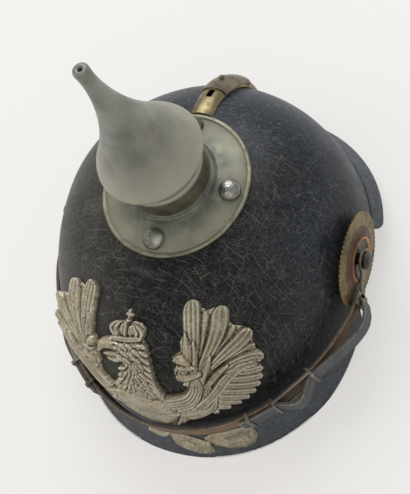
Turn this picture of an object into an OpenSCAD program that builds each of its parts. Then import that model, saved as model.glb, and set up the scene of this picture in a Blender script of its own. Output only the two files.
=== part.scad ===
// Spiked leather parade helmet, steel fittings, plain front ribbon
// Front is -Y, the wearer's left is +X, up is +Z, and z = 0 is the surface that both visors rest on.

/* [Skull] */
// Half width of the skull at its rim
skull_a = 94; // [86:0.5:102]
// Length of the skull ahead of the spike's axis
skull_front = 115; // [105:0.5:125]
// Length of the skull behind the spike's axis
skull_rear = 90; // [82:0.5:100]
// Height of the skull above its rim
skull_h = 90; // [82:0.5:105]
// Wall of the skull at its sides
skull_t = 2.8; // [2:0.1:4]
// Wall of the skull at its crown
crown_t = 4.2; // [3.8:0.1:6]
// Ventilation hole under the spike
vent_r = 15; // [10:0.5:18]

/* [Visors] */
// How far the front visor stands out at its middle
front_out = 14; // [12:0.5:18]
// How far the rear visor stands out at its middle
rear_out = 12; // [10:0.5:15]
// Height of the rim above the surface that the helmet rests on
rim_h = 23; // [20:0.5:24]
// Leather of the visors, measured upright
visor_t = 4; // [3:0.1:5]
// Top of the visors' root above the rim
visor_root = 3; // [2:0.1:4]

/* [Spike and base] */
// Radius of the base plate
base_r = 45.2; // [41:0.1:50]
// Metal of the base plate
base_t = 1.2; // [0.8:0.1:1.6]
// Rise of the base plate from its edge to its neck
base_rise = 8; // [5:0.1:11]
// Outer radius of the neck
neck_r = 24; // [20:0.1:27]
// Wall of the neck
neck_t = 2.4; // [2:0.1:3]
// Height of the neck's mouth above the plate's edge
neck_h = 25; // [20:0.5:30]
// Largest radius of the spike
flare_r = 31.2; // [28:0.1:36]
// Height of the spike's widest edge above the plate's edge
flare_h = 41; // [37:0.5:46]
// Height of the spike's tip above the plate's edge
spike_h = 132; // [115:1:145]
// Radius of the spike's tip
tip_r = 4.6; // [3.5:0.1:6]
// Metal of the spike
spike_t = 1.1; // [0.8:0.1:1.6]
// Hole in the spike's tip
tip_hole_r = 1.1; // [0.8:0.1:1.6]
// Turn of the bayonet lock
lock_angle = 35; // [20:1:45]

/* [Base studs] */
// Radius of a stud's dome
stud_r = 6.4; // [5:0.1:7.5]
// Distance of the studs from the axis
stud_at = 35.6; // [33:0.1:38]
// Radius of a stud's shank
shank_r = 1.7; // [1.3:0.1:2.2]

/* [Rear spine] */
// Width of the spine
spine_w = 14.4; // [12:0.1:17]
// Sheet of the spine
spine_t = 1; // [0.7:0.1:1.4]
// Crown of the spine's arch over its edges
spine_arch = 3.8; // [3:0.1:5]
// Radius of the spine's bend over the back of the skull
spine_bend = 49; // [48:0.1:51]
// Sheet of the vent slide
slide_t = 0.8; // [0.6:0.1:1.2]
// Length of the vent hole, in degrees of the bend
vent_len = 8.5; // [6:0.5:10]
// Width of the vent hole
vent_w = 5; // [3:0.1:6]

/* [Side posts and cockade] */
// Height of the side posts above the rim
post_z = 30; // [28:0.5:36]
// Distance of the side posts ahead of the spike's axis
post_ahead = 5; // [0:0.5:14]
// Radius of a side post
post_r = 3.2; // [2.5:0.1:4]
// Radius of the cockade
cockade_r = 28; // [24:0.1:29]
// Metal of the cockade
cockade_t = 0.9; // [0.7:0.1:1.3]
// Teeth round a cockade
teeth = 60; // [40:1:72]

/* [Chinstrap] */
// Width of the strap
strap_w = 13; // [10:0.5:16]
// Thickness of the strap
strap_t = 2.2; // [1.6:0.1:2.8]
// Gap between the skull and the strap
strap_off = 5.6; // [5:0.1:8]
// Height of the strap's middle above the rim, at the front
strap_z = 5.6; // [5:0.1:8]

/* [Front plate] */
// Sheet of the front plate
plate_t = 2; // [1.2:0.1:2.6]
// Height of the middle of the front plate's drawing, square to its tilt, above the rim's front edge
plate_up = 48.6; // [47.6:0.1:50]
// Height of the raised parts over the skull
relief_t = 4.2; // [3:0.1:4.8]

/* [Hidden] */
$fn = 96;
seat = 0.1;             // gap between a piece and the skull that carries it
running = 0.05;         // radial gap of a turning fit
dome_power = 3;         // how boxy the skull is
dome_steps = 22;        // straight runs in the skull's profile
reach = 400;            // longer than anything here
y_mid = (skull_front + front_out - skull_rear - rear_out) / 2;

// Radius of the skull, as a share of its rim, at height z
function dome_share(z) = pow(1 - pow(z / skull_h, dome_power), 1 / dome_power);
// Height of the skull over a point that lies the share s of the way out
function dome_z(s) = skull_h * pow(1 - pow(s, dome_power), 1 / dome_power);
function dome_profile(h, low) = [
    [0, low], [1, low],
    for (i = [0:dome_steps])
        let (u = 90 * i / dome_steps)
            [pow(cos(u), 2 / dome_power), h * pow(sin(u), 2 / dome_power)]
];

plate_z = (dome_z(base_r / skull_a) + dome_z(base_r / skull_front)) / 2 - 0.5;
stud_tilt = atan(base_rise / (base_r - neck_r));
plate_fall = 2;         // depth of the plate's turned edge
function plate_top(r) = plate_z + base_rise * (base_r - r) / (base_r - neck_r)
    + 0.9 * sin(180 * (base_r - r) / (base_r - neck_r));

// Height of the leather's inner face under the base plate, at the radius r
function under_z(r) = (skull_h - crown_t) * pow(1 - pow(r / (skull_rear - skull_t), dome_power), 1 / dome_power);
washer_r = 4;
washer_t = 1;
// Metal and leather that a stud's shank goes through, to the washer's face
stud_grip = (plate_top(stud_at) + washer_r * sin(stud_tilt) - under_z(stud_at - washer_r - 3) + 0.2) / cos(stud_tilt);

bore_r = neck_r - neck_t;
sleeve_r = bore_r - running;
lug_depth = 1.2;
lug_z = plate_z + 15;
lug_h = 3;
skirt_gap = 0.4;

spine_cy = skull_rear + 1 - spine_bend;
spine_cz = skull_h - 1 - spine_bend;
spine_low = 4;          // where the bend ends, over the rear horizontal
spine_from = acos((base_r + 0.5 - spine_cy) / spine_bend);
vent_from = spine_from - 15;
slide_from = vent_from - vent_len - 0.5;
slide_to = slide_from - 42;
knob_at = slide_from - 14;
slide_gap = 0.1;

// The screw goes level through the spine's straight run, below the slide and above the sweatband
band_top = 24;
screw_r = 1.4;
screw_nut_r = 3;
screw_nut_t = 1.8;
screw_z = (spine_cz + band_top) / 2;
screw_y = spine_cy + spine_bend / cos(spine_low) + (spine_cz - screw_z) * tan(spine_low);
screw_in = (skull_rear - skull_t)
    * pow(1 - pow((screw_z + screw_nut_r) / (skull_h - crown_t), dome_power), 1 / dome_power)
    - 0.3 - screw_nut_t - screw_y;

// Where the nuts lie against the leather's inner face
nut_r = 6.5;
nut_t = 2.2;
nut_x = (skull_a - skull_t) * pow(1 - pow((post_z + nut_r) / (skull_h - crown_t), dome_power), 1 / dome_power)
    - 0.3 - nut_t;

flange_x = skull_a - 0.1;
flange_t = 1.4;
cockade_x = flange_x + flange_t + 0.3;
cockade_crown = 3.4;    // height of the cockade's raised ring
lug_x = cockade_x + cockade_crown + 0.4;
bare_side = cockade_crown + 0.4;        // the right lug sits this much further in: no cockade under it
lug_t = 1.4;
knob_r = 5.4;
lug_bar_y = -27;
lug_bar_z = post_z - 15;
lug_bar_r = 1.2;

strap_gap = 0.4;        // play between the strap's strands, and between strap and bar
strap_mid_y = -(skull_front + strap_off);
bar_t = asin(-lug_bar_y / (skull_front + strap_off));
bar_x = (skull_a + strap_off) * cos(bar_t) + strap_t + strap_gap + lug_bar_r;
strap_slope = atan((lug_bar_z - strap_z) / (skull_front + strap_off + lug_bar_y));
buckle_from = 36;
buckle_to = 50;
keeper_t = 59;

loop_at = [[40, 34], [43, 60]];         // the front plate's fixing loops, across and above the rim
plate_tilt = 25;        // the front plate's outline is drawn square to this rise
// Slopes of the visors: their outer edges come down near the surface that the helmet rests on
visor_front_fall = (rim_h + visor_root - 1.5) / front_out;
visor_rear_fall = (rim_h + visor_root - 2.6) / rear_out;

module place() {
    translate([-bare_side / 2, y_mid, rim_h]) children();
}

// Rear half of the skull's outer form, moved outwards by off, from z = low up
module rear_dome(off, low, top = 0) {
    scale([skull_a + off, skull_rear + off, 1])
        rotate_extrude(angle = 180) polygon(dome_profile(skull_h + off + top, low));
}

module front_dome(off, low, top = 0) {
    rotate([0, 0, 180]) scale([skull_a + off, skull_front + off, 1])
        rotate_extrude(angle = 180) polygon(dome_profile(skull_h + off + top, low));
}

module dome(off, low, top = 0) {
    rear_dome(off, low, top);
    front_dome(off, low, top);
}

module on_studs() {
    for (t = [0:90:270])
        rotate([0, 0, t]) translate([stud_at, 0, plate_top(stud_at)]) rotate([0, stud_tilt, 0]) children();
}

module both_sides() {
    children();
    mirror([1, 0, 0]) children();
}

// Axis along +X through the left side post
module at_post(x) {
    translate([x, -post_ahead, post_z]) rotate([0, 90, 0]) children();
}

// Leather under the base plate is pressed to the plate's slope
module plate_seat() {
    slope = 0.14;
    wide = 24;
    z0 = plate_z - seat;
    rotate_extrude() polygon([
        [base_r - wide, z0 + slope * wide], [base_r + wide, z0 - slope * wide],
        [base_r + wide, z0 + 20], [base_r - wide, z0 + 20]
    ]);
}

module plate_slots(grow) {
    both_sides()
        for (p = loop_at)
            translate([p[0] - 3.2 - grow, -reach / 2, p[1] - 0.8 - grow])
                cube([6.4 + 2 * grow, reach / 2, 1.6 + 2 * grow]);
}

module skull() color("#26272a") place() difference() {
    dome(0, 0);
    dome(-skull_t, -5, skull_t - crown_t);
    plate_seat();
    translate([0, 0, plate_z - 30]) cylinder(r = vent_r, h = 60);
    on_studs() translate([0, 0, -16]) cylinder(r = shank_r + 0.3, h = 20);
    plate_slots(0.3);
    both_sides() at_post(skull_a - 12) cylinder(r = post_r + 0.3, h = 20);
    at_spine(vent_from - vent_len / 2) translate([0, 0, -14]) cylinder(r = 3, h = 16);
    at_screw() translate([0, 0, -16]) cylinder(r = screw_r + 0.2, h = 16);
}

function arc_points(rx, ry, from, to, steps, power = 2) = [
    for (i = [0:steps]) let (t = from + (to - from) * i / steps, c = cos(t), s = sin(t))
        [rx * sign(c) * pow(abs(c), 2 / power), ry * sign(s) * pow(abs(s), 2 / power)]
];

// A sloping oval collar under the rim: the part of a cone between its top and its under side
module visor_cone(half_w, length, fall) {
    grow = 1.6;
    inner = 0.9;
    rise = fall * length * (1 - inner);
    drop = fall * length * (grow - 1);
    scale([half_w, length, 1]) rotate_extrude() polygon([
        [inner, visor_root + rise], [grow, visor_root - drop],
        [grow, visor_root - drop - visor_t], [inner, visor_root + rise - visor_t]
    ]);
}

module front_outline() {
    rx = skull_a + 2;
    ry = skull_front + front_out - 20;
    polygon(concat(
        [for (p = arc_points(rx, ry, 194, 346, 36, 2.15)) p + [0, -20]],
        [[skull_a - 2, -12], [0, -12], [-(skull_a - 2), -12]]
    ));
}

module front_visor() color("#43464c") place() difference() {
    intersection() {
        visor_cone(skull_a, skull_front, visor_front_fall);
        translate([0, 0, -rim_h]) linear_extrude(rim_h + visor_root) front_outline();
    }
    dome(0.05, -reach / 4);
}

module rear_outline() {
    rx = skull_a + 1;
    ry = skull_rear + rear_out - 14;
    polygon(concat(
        [for (p = arc_points(rx, ry, 12, 168, 36)) p + [0, 14]],
        [[-(skull_a - 4), 28], [0, 28], [skull_a - 4, 28]]
    ));
}

module rear_visor() color("#3a3d43") place() difference() {
    intersection() {
        visor_cone(skull_a, skull_rear, visor_rear_fall);
        translate([0, 0, -rim_h]) linear_extrude(rim_h + visor_root) rear_outline();
    }
    dome(0.05, -reach / 4);
}

// Two grooves down the neck's bore, each with a run to the side for the spike's lugs
module bayonet_grooves() {
    groove_r = sleeve_r + lug_depth + 0.2;
    lug_arc = 12;
    for (t = [0, 180]) rotate([0, 0, t]) {
        rotate([0, 0, lock_angle - lug_arc / 2 - 0.7]) rotate_extrude(angle = lug_arc + 1.4)
            polygon([[bore_r - 1.2, lug_z + 1], [groove_r + 0.1, lug_z + 1],
                     [groove_r + 0.1, plate_z + neck_h + 1], [bore_r - 1.2, plate_z + neck_h + 1]]);
        rotate([0, 0, -lug_arc / 2 - 1]) rotate_extrude(angle = lug_arc + lock_angle + 2)
            polygon([[bore_r - 1, lug_z - 0.3], [groove_r, lug_z - 0.3],
                     [groove_r, lug_z + lug_h + 0.3], [bore_r - 1, lug_z + lug_h + 0.3]]);
    }
}

module spike_base() color("#7c7f79") place() difference() {
    rotate([0, 0, 65]) rotate_extrude() polygon(concat(
        [[base_r, plate_z], [base_r, plate_z + 1.5]],
        [[base_r - 0.5, plate_z + plate_fall], [base_r - 2.2, plate_z + plate_fall],
         [base_r - 2.9, plate_top(base_r - 3) + 0.1]],
        [for (i = [0:8]) let (r = base_r - 3 - (base_r - 3 - neck_r - 2.4) * i / 8) [r, plate_top(r)]],
        [[neck_r + 2.2, plate_z + base_rise + 1.4], [neck_r + 1.6, plate_z + base_rise + 2],
         [neck_r + 0.6, plate_z + base_rise + 2], [neck_r, plate_z + base_rise + 2.4],
         [neck_r, plate_z + neck_h - 2.4], [neck_r + 0.6, plate_z + neck_h - 2],
         [neck_r + 0.6, plate_z + neck_h], [bore_r, plate_z + neck_h]],
        [[bore_r, plate_z + base_rise - base_t]],
        [for (i = [8:-1:0]) let (r = base_r - 3 - (base_r - 3 - neck_r - 2.4) * i / 8)
            [r, plate_top(r) - base_t]],
        [[base_r - base_t, plate_z + 0.6], [base_r - base_t, plate_z]]
    ));
    bayonet_grooves();
    on_studs() translate([0, 0, -6]) cylinder(r = shank_r + 0.3, h = 12);
}

// Outer radius of the spike at height h over the plate's edge
spike_power = 1.92;
function spike_r(h) = tip_r - 0.2
    + (flare_r - tip_r + 0.2) * pow((spike_h - 8 - h) / (spike_h - 8 - flare_h - 2), spike_power);
function spike_side(off) = [
    for (i = [0:18]) let (h = flare_h + 2 + (spike_h - 8 - flare_h - 2) * i / 18) [spike_r(h) - off, plate_z + h]
];
spike_skirt = neck_h + skirt_gap;

module spike() color("#80837d") place() difference() {
    union() {
        rotate_extrude() polygon(concat(
            [[sleeve_r, lug_z], [sleeve_r, plate_z + spike_skirt], [neck_r + 1.4, plate_z + spike_skirt],
             [neck_r + 1.4, plate_z + spike_skirt + 1.6], [neck_r + 0.4, plate_z + spike_skirt + 3]],
            [[flare_r - 3.4, plate_z + flare_h - 4], [flare_r - 1.2, plate_z + flare_h - 2.4],
             [flare_r, plate_z + flare_h]],
            spike_side(0),
            [[tip_r, plate_z + spike_h - 4], [tip_r, plate_z + spike_h - 1.6],
             [tip_r - 1, plate_z + spike_h - 0.4], [tip_r - 2.2, plate_z + spike_h],
             [tip_hole_r, plate_z + spike_h]],
            [[tip_hole_r, plate_z + spike_h - 6]],
            [for (i = [17:-1:0]) let (p = spike_side(spike_t)[i]) [max(p[0], tip_hole_r), p[1] - 0.5]],
            [[flare_r - 2.4, plate_z + flare_h - 1], [sleeve_r - 1, plate_z + spike_skirt + 2.4],
             [sleeve_r - 1, lug_z]]
        ));
        for (t = [0, 180]) rotate([0, 0, t - 5]) rotate_extrude(angle = 10)
            polygon([[sleeve_r - 0.6, lug_z], [sleeve_r + lug_depth, lug_z],
                     [sleeve_r + lug_depth, lug_z + lug_h], [sleeve_r - 0.6, lug_z + lug_h]]);
    }
}

module base_studs() color("#a9aaa6") place() on_studs() {
    translate([0, 0, 0.7]) rotate_extrude() polygon(concat(
        [[0, 0], [stud_r, 0]],
        [for (i = [0:8]) let (u = 90 * i / 8) [stud_r * cos(u), 0.5 + 3.8 * sin(u)]]
    ));
    translate([0, 0, -stud_grip - washer_t - 0.5]) cylinder(r = shank_r, h = stud_grip + washer_t + 1.4);
    for (s = [-1, 1]) translate([s * 3, 0, -stud_grip - washer_t - 0.5]) cube([6.4, 2.4, 0.8], center = true);
}

module stud_washers() color("#8a8b88") place() on_studs()
    translate([0, 0, -stud_grip - washer_t]) difference() {
        cylinder(r = washer_r, h = washer_t);
        translate([0, 0, -1]) cylinder(r = shank_r + 0.2, h = 3);
    }

// Local +Z points outwards from the spine's bend at the angle a above the rear horizontal
module at_spine(a) {
    translate([0, spine_cy, spine_cz]) rotate([a - 90, 0, 0]) translate([0, 0, spine_bend]) children();
}

// Local +Z points straight to the rear from the spine's face at its screw
module at_screw() {
    translate([0, screw_y, screw_z]) rotate([-90, 0, 0]) children();
}

// Arched section of the spine, with the bend's radius along +X of the sketch
module arch_section(grow, inside) {
    w = spine_w / 2 + grow;
    top = spine_bend + grow - spine_arch;
    polygon(concat(
        [[inside, -w], [top, -w]],
        [for (i = [1:11]) let (u = -90 + 15 * i) [top + spine_arch * cos(u), w * sin(u)]],
        [[top, w], [inside, w]]
    ));
}

// Sweeps a section round the bend from one angle down to another
module bend(from, to) {
    translate([0, spine_cy, spine_cz]) rotate([0, 90, 0]) rotate([0, 0, to + 90])
        rotate_extrude(angle = from - to) children();
}

// Round the bend, then straight on down, a little outwards, to the rear visor
module spine_body(grow, inside, over) {
    run = (spine_cz - visor_root - 0.6) / cos(spine_low) + spine_bend * sin(spine_low) + over;
    bend(spine_from + over, spine_low) arch_section(grow, inside);
    translate([0, spine_cy, spine_cz]) rotate([spine_low, 0, 0]) translate([0, 0, -run])
        linear_extrude(run) rotate(90) arch_section(grow, inside);
}

// The spine's foot lies on the rear visor
module spine_foot() {
    y0 = skull_rear + 0.3;
    y1 = skull_rear + rear_out - 1.5;
    z0 = visor_root + 0.2 - visor_rear_fall * (y0 - skull_rear);
    z1 = z0 - visor_rear_fall * (y1 - y0);
    translate([-spine_w / 2, 0, 0]) rotate([90, 0, 90]) linear_extrude(spine_w)
        polygon([[y0, z0], [y1, z1], [y1, z1 + 2.2], [y0, z0 + 4]]);
}

module rear_spine() color("#a8925a") place() {
    difference() {
        spine_body(0, 30, 0);
        spine_body(-spine_t, 28, 2);
        rear_dome(seat, 0);
        at_spine(vent_from - vent_len / 2)
            translate([-vent_w / 2, -spine_bend * sin(vent_len / 2), -4])
                cube([vent_w, 2 * spine_bend * sin(vent_len / 2), 8]);
        at_screw() translate([0, 0, -5]) cylinder(r = screw_r + 0.3, h = 8);
    }
    spine_foot();
}

module spine_screws() color("#9a8a5c") place() at_screw() {
    translate([0, 0, screw_in - 0.5]) cylinder(r = screw_r, h = 0.9 - screw_in);
    translate([0, 0, screw_in]) cylinder(r = screw_nut_r, h = screw_nut_t);
    translate([0, 0, 0.25]) cylinder(r = 2.6, h = 0.9);
}

module vent_slide() color("#8f8a72") place() {
    gap = slide_gap;
    difference() {
        bend(slide_from, slide_to) arch_section(gap + slide_t, spine_bend - spine_arch - 0.5);
        bend(slide_from + 3, slide_to - 3) arch_section(gap, spine_bend - spine_arch - 4);
    }
    at_spine(knob_at) translate([0, 0, gap + slide_t - 0.3]) {
        cylinder(r = 1.6, h = 1.5);
        translate([0, 0, 1.1]) sphere(r = 1.6, $fn = 32);
    }
}

// Outlines of the front plate, seen square to its tilt: right wing, head with crown, body
wing = [
    [12, -34], [15.6, -10.2], [19.4, -1.6], [26.3, 1], [22.8, 5], [23.3, 8.8], [22, 15], [24.3, 20.6],
    [28.5, 24.1], [30.4, 31.5], [30.1, 37.4], [26.9, 44.2], [25.4, 48], [27.6, 49.6], [31.5, 49.8],
    [36.6, 48.3], [39.8, 45.4], [42, 46.3], [46, 46], [51.4, 43.2], [52.6, 38], [54.6, 34.8], [60, 33.4],
    [64.4, 29.7], [62.6, 22.6], [65.8, 18], [67.4, 13.2], [64.9, 9.4], [66.2, 4.2], [63.4, 0.6],
    [63.8, -8.1], [61.4, -13.6], [55.9, -22.2], [50, -28.6], [44, -34], [34, -41], [18, -46]
];
head = [
    [13.5, -13.6], [12.9, -4], [11.2, 5.6], [10.6, 14.7], [9.3, 22.6], [7.4, 28.5], [9.4, 34.3],
    [8.8, 38.6], [3.4, 39], [1.6, 40.6], [-1.6, 40.8], [-1.9, 43.6], [-5, 43.6], [-4.8, 40.6], [-7, 38.2],
    [-12.6, 37.2], [-14.8, 32.2], [-13.4, 27.6], [-11.7, 24.6], [-17.7, 22.8], [-23.2, 19], [-25, 13.6],
    [-19.8, 15.6], [-14.2, 14.4], [-11.8, 9.7], [-12.3, 1], [-14.6, -9.7], [-16, -34], [0, -47], [16, -34]
];
shoulder = [
    [24, -26], [27, -4], [25.2, 6], [25, 15], [28, 20], [31.6, 25], [33.6, 31], [33, 38], [29.6, 44.6],
    [32.6, 46.6], [37, 38], [42, 28], [46, 16], [45, 2], [40, -12], [34, -26]
];
crest = [
    [8, -20], [9, 4], [8.4, 14], [7, 22], [5, 28.5], [6.6, 34], [6, 36.4], [-10.6, 35], [-12, 31.6],
    [-10.4, 27], [-9, 22.6], [-15.6, 19.6], [-10, 14], [-8.8, 6], [-10, -4], [-10, -20], [0, -36]
];

module drawn(points) {
    rotate([90 - plate_tilt, 0, 0]) translate([0, plate_up - skull_front * sin(plate_tilt), 0])
        linear_extrude(reach / 2) polygon(points);
}

module skull_shell(outer, low) {
    difference() {
        front_dome(outer, low);
        front_dome(seat, low - 5);
    }
}

// Tail and ribbon ends that lie out over the visor, seen from above and placed from the skull's front edge
lobes = [[-20, 15], [-18, -4], [-11, -6.6], [0, -7.6], [3, -9.5], [9, -11], [17, -11], [25, -8.8], [28.5, -5.6],
    [35, -5], [44, -1.6], [50, 3.6], [51.6, 9], [50, 23], [20, 15]];

module front_plate() color("#8f8c83") place() {
    difference() {
        union() {
            intersection() {
                skull_shell(plate_t, visor_root - 1.5);
                union() {
                    drawn(head);
                    both_sides() drawn(wing);
                }
            }
            intersection() {
                skull_shell(relief_t, visor_root + 2.5);
                union() {
                    drawn(crest);
                    both_sides() drawn(shoulder);
                }
            }
            intersection() {
                translate([0, 0, 1.9]) visor_cone(skull_a, skull_front, visor_front_fall);
                translate([0, -skull_front, -rim_h]) linear_extrude(rim_h + visor_root + 1.8) polygon(lobes);
            }
        }
        translate([0, 0, 0.1]) visor_cone(skull_a, skull_front, visor_front_fall);
        front_dome(seat, -reach / 4);
    }
}

// Depth of the skull's outer face at p, across and above the rim
function face_y(p) = -skull_front * sqrt(pow(dome_share(p[1]), 2) - pow(p[0] / skull_a, 2));
// The same for its inner face
function inner_y(x, z) = -(skull_front - skull_t)
    * sqrt(pow(1 - pow(z / (skull_h - crown_t), dome_power), 2 / dome_power) - pow(x / (skull_a - skull_t), 2));
wedge_w = 2.8;
wedge_t = 2;
wedge_half = 5;         // half of a wedge's height
function wedge_y(p, up) = inner_y(p[0] + wedge_w / 2, p[1] + up * wedge_half) + 0.3;

// Loops on the back of the front plate, through slots in the skull
module plate_loops() color("#7f7d76") place() both_sides()
    for (p = loop_at) {
        y = face_y(p);
        back = (wedge_y(p, -1) + wedge_y(p, 1)) / 2;
        difference() {
            translate([p[0] - 3, y, p[1] - 0.6]) cube([6, back + wedge_t + 3 - y, 1.2]);
            translate([p[0] - 1.6, back - 0.9, p[1] - 2]) cube([3.2, wedge_t + 1.9, 4]);
            difference() {
                translate([p[0] - 4, y - 9, p[1] - 2]) cube([8, 12, 4]);
                front_dome(0.05, 20);
            }
        }
    }

module plate_wedges() color("#5c4632") place() both_sides()
    for (p = loop_at)
        translate([p[0] - wedge_w / 2, 0, 0]) rotate([90, 0, 90]) linear_extrude(wedge_w) polygon([
            [wedge_y(p, -1), p[1] - wedge_half], [wedge_y(p, -1) + wedge_t, p[1] - wedge_half],
            [wedge_y(p, 1) + wedge_t, p[1] + wedge_half], [wedge_y(p, 1), p[1] + wedge_half]
        ]);

// A post with its flange and knob; the stack it holds is shorter by less
module post(less) {
    knob_x = lug_x - less + lug_t + 0.3;
    at_post(flange_x) cylinder(r = 8.5, h = flange_t);
    at_post(nut_x - 1.3) cylinder(r = post_r, h = knob_x - nut_x + 2.3);
    at_post(knob_x) rotate_extrude() polygon([
        [0, 0], [knob_r - 0.6, 0], [knob_r, 0.8], [knob_r - 0.6, 2.2], [knob_r - 2.2, 3.2], [0, 3.6]
    ]);
}

module post_left() color("#6f675a") place() post(0);

module post_right() color("#6f675a") place() mirror([1, 0, 0]) post(bare_side);

module post_nuts() color("#8a8b88") place() both_sides()
    at_post(nut_x) difference() {
        cylinder(r = nut_r, h = nut_t, $fn = 6);
        translate([0, 0, -1]) cylinder(r = post_r + 0.15, h = nut_t + 2);
    }

module cockade() color("#8d7642") place() at_post(cockade_x) difference() {
    rotate_extrude() polygon([
        [post_r + running, 1.4], [post_r + 1.4, 1.2], [9, 1.2], [10.6, 1.6], [11.6, 2.9],
        [12.8, cockade_crown], [14, 2.9], [15, 1.9], [17, 1.4], [19.6, 1.3], [20.4, cockade_t],
        [cockade_r, cockade_t], [cockade_r, 0], [post_r + running, 0]
    ]);
    for (i = [0:teeth - 1]) rotate([0, 0, i * 360 / teeth])
        translate([cockade_r + 0.3, 0, -1]) rotate([0, 0, 45]) cube([1.5, 1.5, 6], center = true);
}

// Eye round the post, arm forward and down, and the frame whose front bar the strap goes round
module lug(less) {
    end_y = lug_bar_y + lug_bar_r + 2 * strap_gap + strap_t;
    ahead = -end_y - post_ahead;
    drop = post_z - lug_bar_z;
    arm = sqrt(pow(ahead, 2) + pow(drop, 2)) + 1;
    translate([-less, 0, 0]) difference() {
        union() {
            at_post(lug_x) cylinder(r = 7, h = lug_t);
            difference() {
                translate([lug_x, -post_ahead, post_z]) rotate([-atan2(ahead, drop), 0, 0])
                    translate([0, -3.2, -arm]) cube([lug_t, 6.4, arm]);
                strap_plane() translate([bar_x, lug_bar_y, -strap_gap])
                    cylinder(r = end_y - lug_bar_y + 0.2, h = strap_w + 2 * strap_gap);
            }
            strap_plane() {
                translate([lug_x, end_y, -2.2]) cube([lug_t, 2.4, strap_w + 4.4]);
                for (z = [-2.2, strap_w + strap_gap])
                    translate([lug_x, lug_bar_y - 1.2, z]) cube([lug_t, end_y - lug_bar_y + 2, 2.2 - strap_gap]);
                translate([bar_x, lug_bar_y, -2]) cylinder(r = lug_bar_r, h = strap_w + 4);
            }
        }
        at_post(lug_x - 1) cylinder(r = post_r + running, h = lug_t + 2);
    }
}

module lug_left() color("#8d846f") place() lug(0);

module lug_right() color("#8d846f") place() mirror([1, 0, 0]) lug(bare_side);

// Point of the strap's plan at the angle t from the left, moved out by off
function strap_at(t, off) = [(skull_a + off) * cos(t), -(skull_front + off) * sin(t)];

// How far the two strands stand out along a side; near the lug they lie closer in by less.
// Next to the bar the inner strand leans out, clear of the cockade's edge.
function near_off(t, less) = strap_off
    + (min(t - bar_t, 3) / 3 - less) * max(0, 1 - (t - bar_t) / (buckle_from - bar_t));
function far_off(t, less) =
    let (beside = strap_off + strap_t + strap_gap)
    let (start = (bar_x - less + lug_bar_r + strap_gap) / cos(bar_t) - skull_a)
    t < buckle_from
        ? let (u = (t - bar_t) / (buckle_from - bar_t))
            start + (beside - start) * u + 9 * sin(180 * u) * (1 - pow(u, 3))
    : t < buckle_to
        ? beside + 7 * pow(sin(180 * (t - buckle_from) / (buckle_to - buckle_from)), 2)
    : beside;

module strap_plane() {
    translate([0, 0, strap_z]) translate([0, strap_mid_y, 0]) rotate([strap_slope, 0, 0])
        translate([0, -strap_mid_y, -strap_w / 2]) children();
}

// One half of the strap: inner strand back to the lug's bar, round it, and the outer strand
function half_strap(less) =
    let (near = concat([bar_t], [for (t = [16:4:88]) t]))
    let (far = concat([bar_t], [for (t = [16:2:62]) t]))
    let (turn = [for (u = [160:-20:20]) [cos(u), sin(u)]])
    let (bar = [bar_x - less, lug_bar_y], inner = lug_bar_r + strap_gap)
    concat(
        [for (i = [len(near) - 1:-1:0]) strap_at(near[i], near_off(near[i], less))],
        [for (u = turn) bar + (inner + strap_t) * u],
        [for (t = far) strap_at(t, far_off(t, less) + strap_t)],
        [for (i = [len(far) - 1:-1:0]) strap_at(far[i], far_off(far[i], less))],
        [for (i = [len(turn) - 1:-1:0]) bar + inner * turn[i]],
        [for (t = near) strap_at(t, near_off(t, less) + strap_t)]
    );

module chinstrap() color("#5d5b55") place() strap_plane() linear_extrude(strap_w) {
    left = half_strap(0);
    right = half_strap(bare_side);
    polygon(concat(left, [for (i = [len(right) - 1:-1:0]) [-right[i][0], right[i][1]]]));
}

// A metal band round both strands at the angle t, wide along the strap
module strap_band(t, wide, over, gap = 0.3) {
    wall = 1;
    p = strap_at(t, strap_off);
    aim = atan2(p[1] / pow(skull_front + strap_off, 2), p[0] / pow(skull_a + strap_off, 2));
    deep = 2 * strap_t + strap_gap;
    translate([p[0], p[1], 0]) rotate([0, 0, aim]) difference() {
        translate([-gap - wall, -wide / 2, -gap - over])
            cube([deep + 2 * gap + 2 * wall, wide, strap_w + 2 * gap + 2 * over]);
        translate([-gap, -wide, -gap]) cube([deep + 2 * gap, 2 * wide, strap_w + 2 * gap]);
    }
}

// A long frame whose two ends are bent round the strands
module buckle() {
    p = strap_at(buckle_from, strap_off + strap_t);
    q = strap_at(buckle_to, strap_off + strap_t);
    aim = atan2(q[1] - p[1], q[0] - p[0]);
    rail = 1.1;
    strap_plane() {
        strap_band(buckle_from, 3.4, rail, 0.7);
        strap_band(buckle_to, 3.4, rail, 0.7);
        for (z = [-0.3 - rail, strap_w + 0.3])
            translate([p[0], p[1], z]) rotate([0, 0, aim]) translate([0, -1, 0]) cube([norm(q - p), 2.4, rail]);
    }
}

module buckle_left() color("#a7a297") place() buckle();

module buckle_right() color("#a7a297") place() mirror([1, 0, 0]) buckle();

module strap_keepers() color("#a7a297") place() strap_plane() both_sides() strap_band(keeper_t, 3, 0.4);

module liner_band() color("#6a4a31") place() difference() {
    intersection() {
        dome(-skull_t - 0.3, 1);
        translate([-reach / 2, -reach / 2, 1]) cube([reach, reach, band_top - 1]);
    }
    dome(-skull_t - 1.9, -5);
}

// Profile of the lining, as a share of its radius at the band, and height
lining = [[1, 4], [0.985, 16], [0.95, 22], [0.92, 32], [0.85, 46], [0.7, 58], [0.48, 66], [0.25, 69]];

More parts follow.
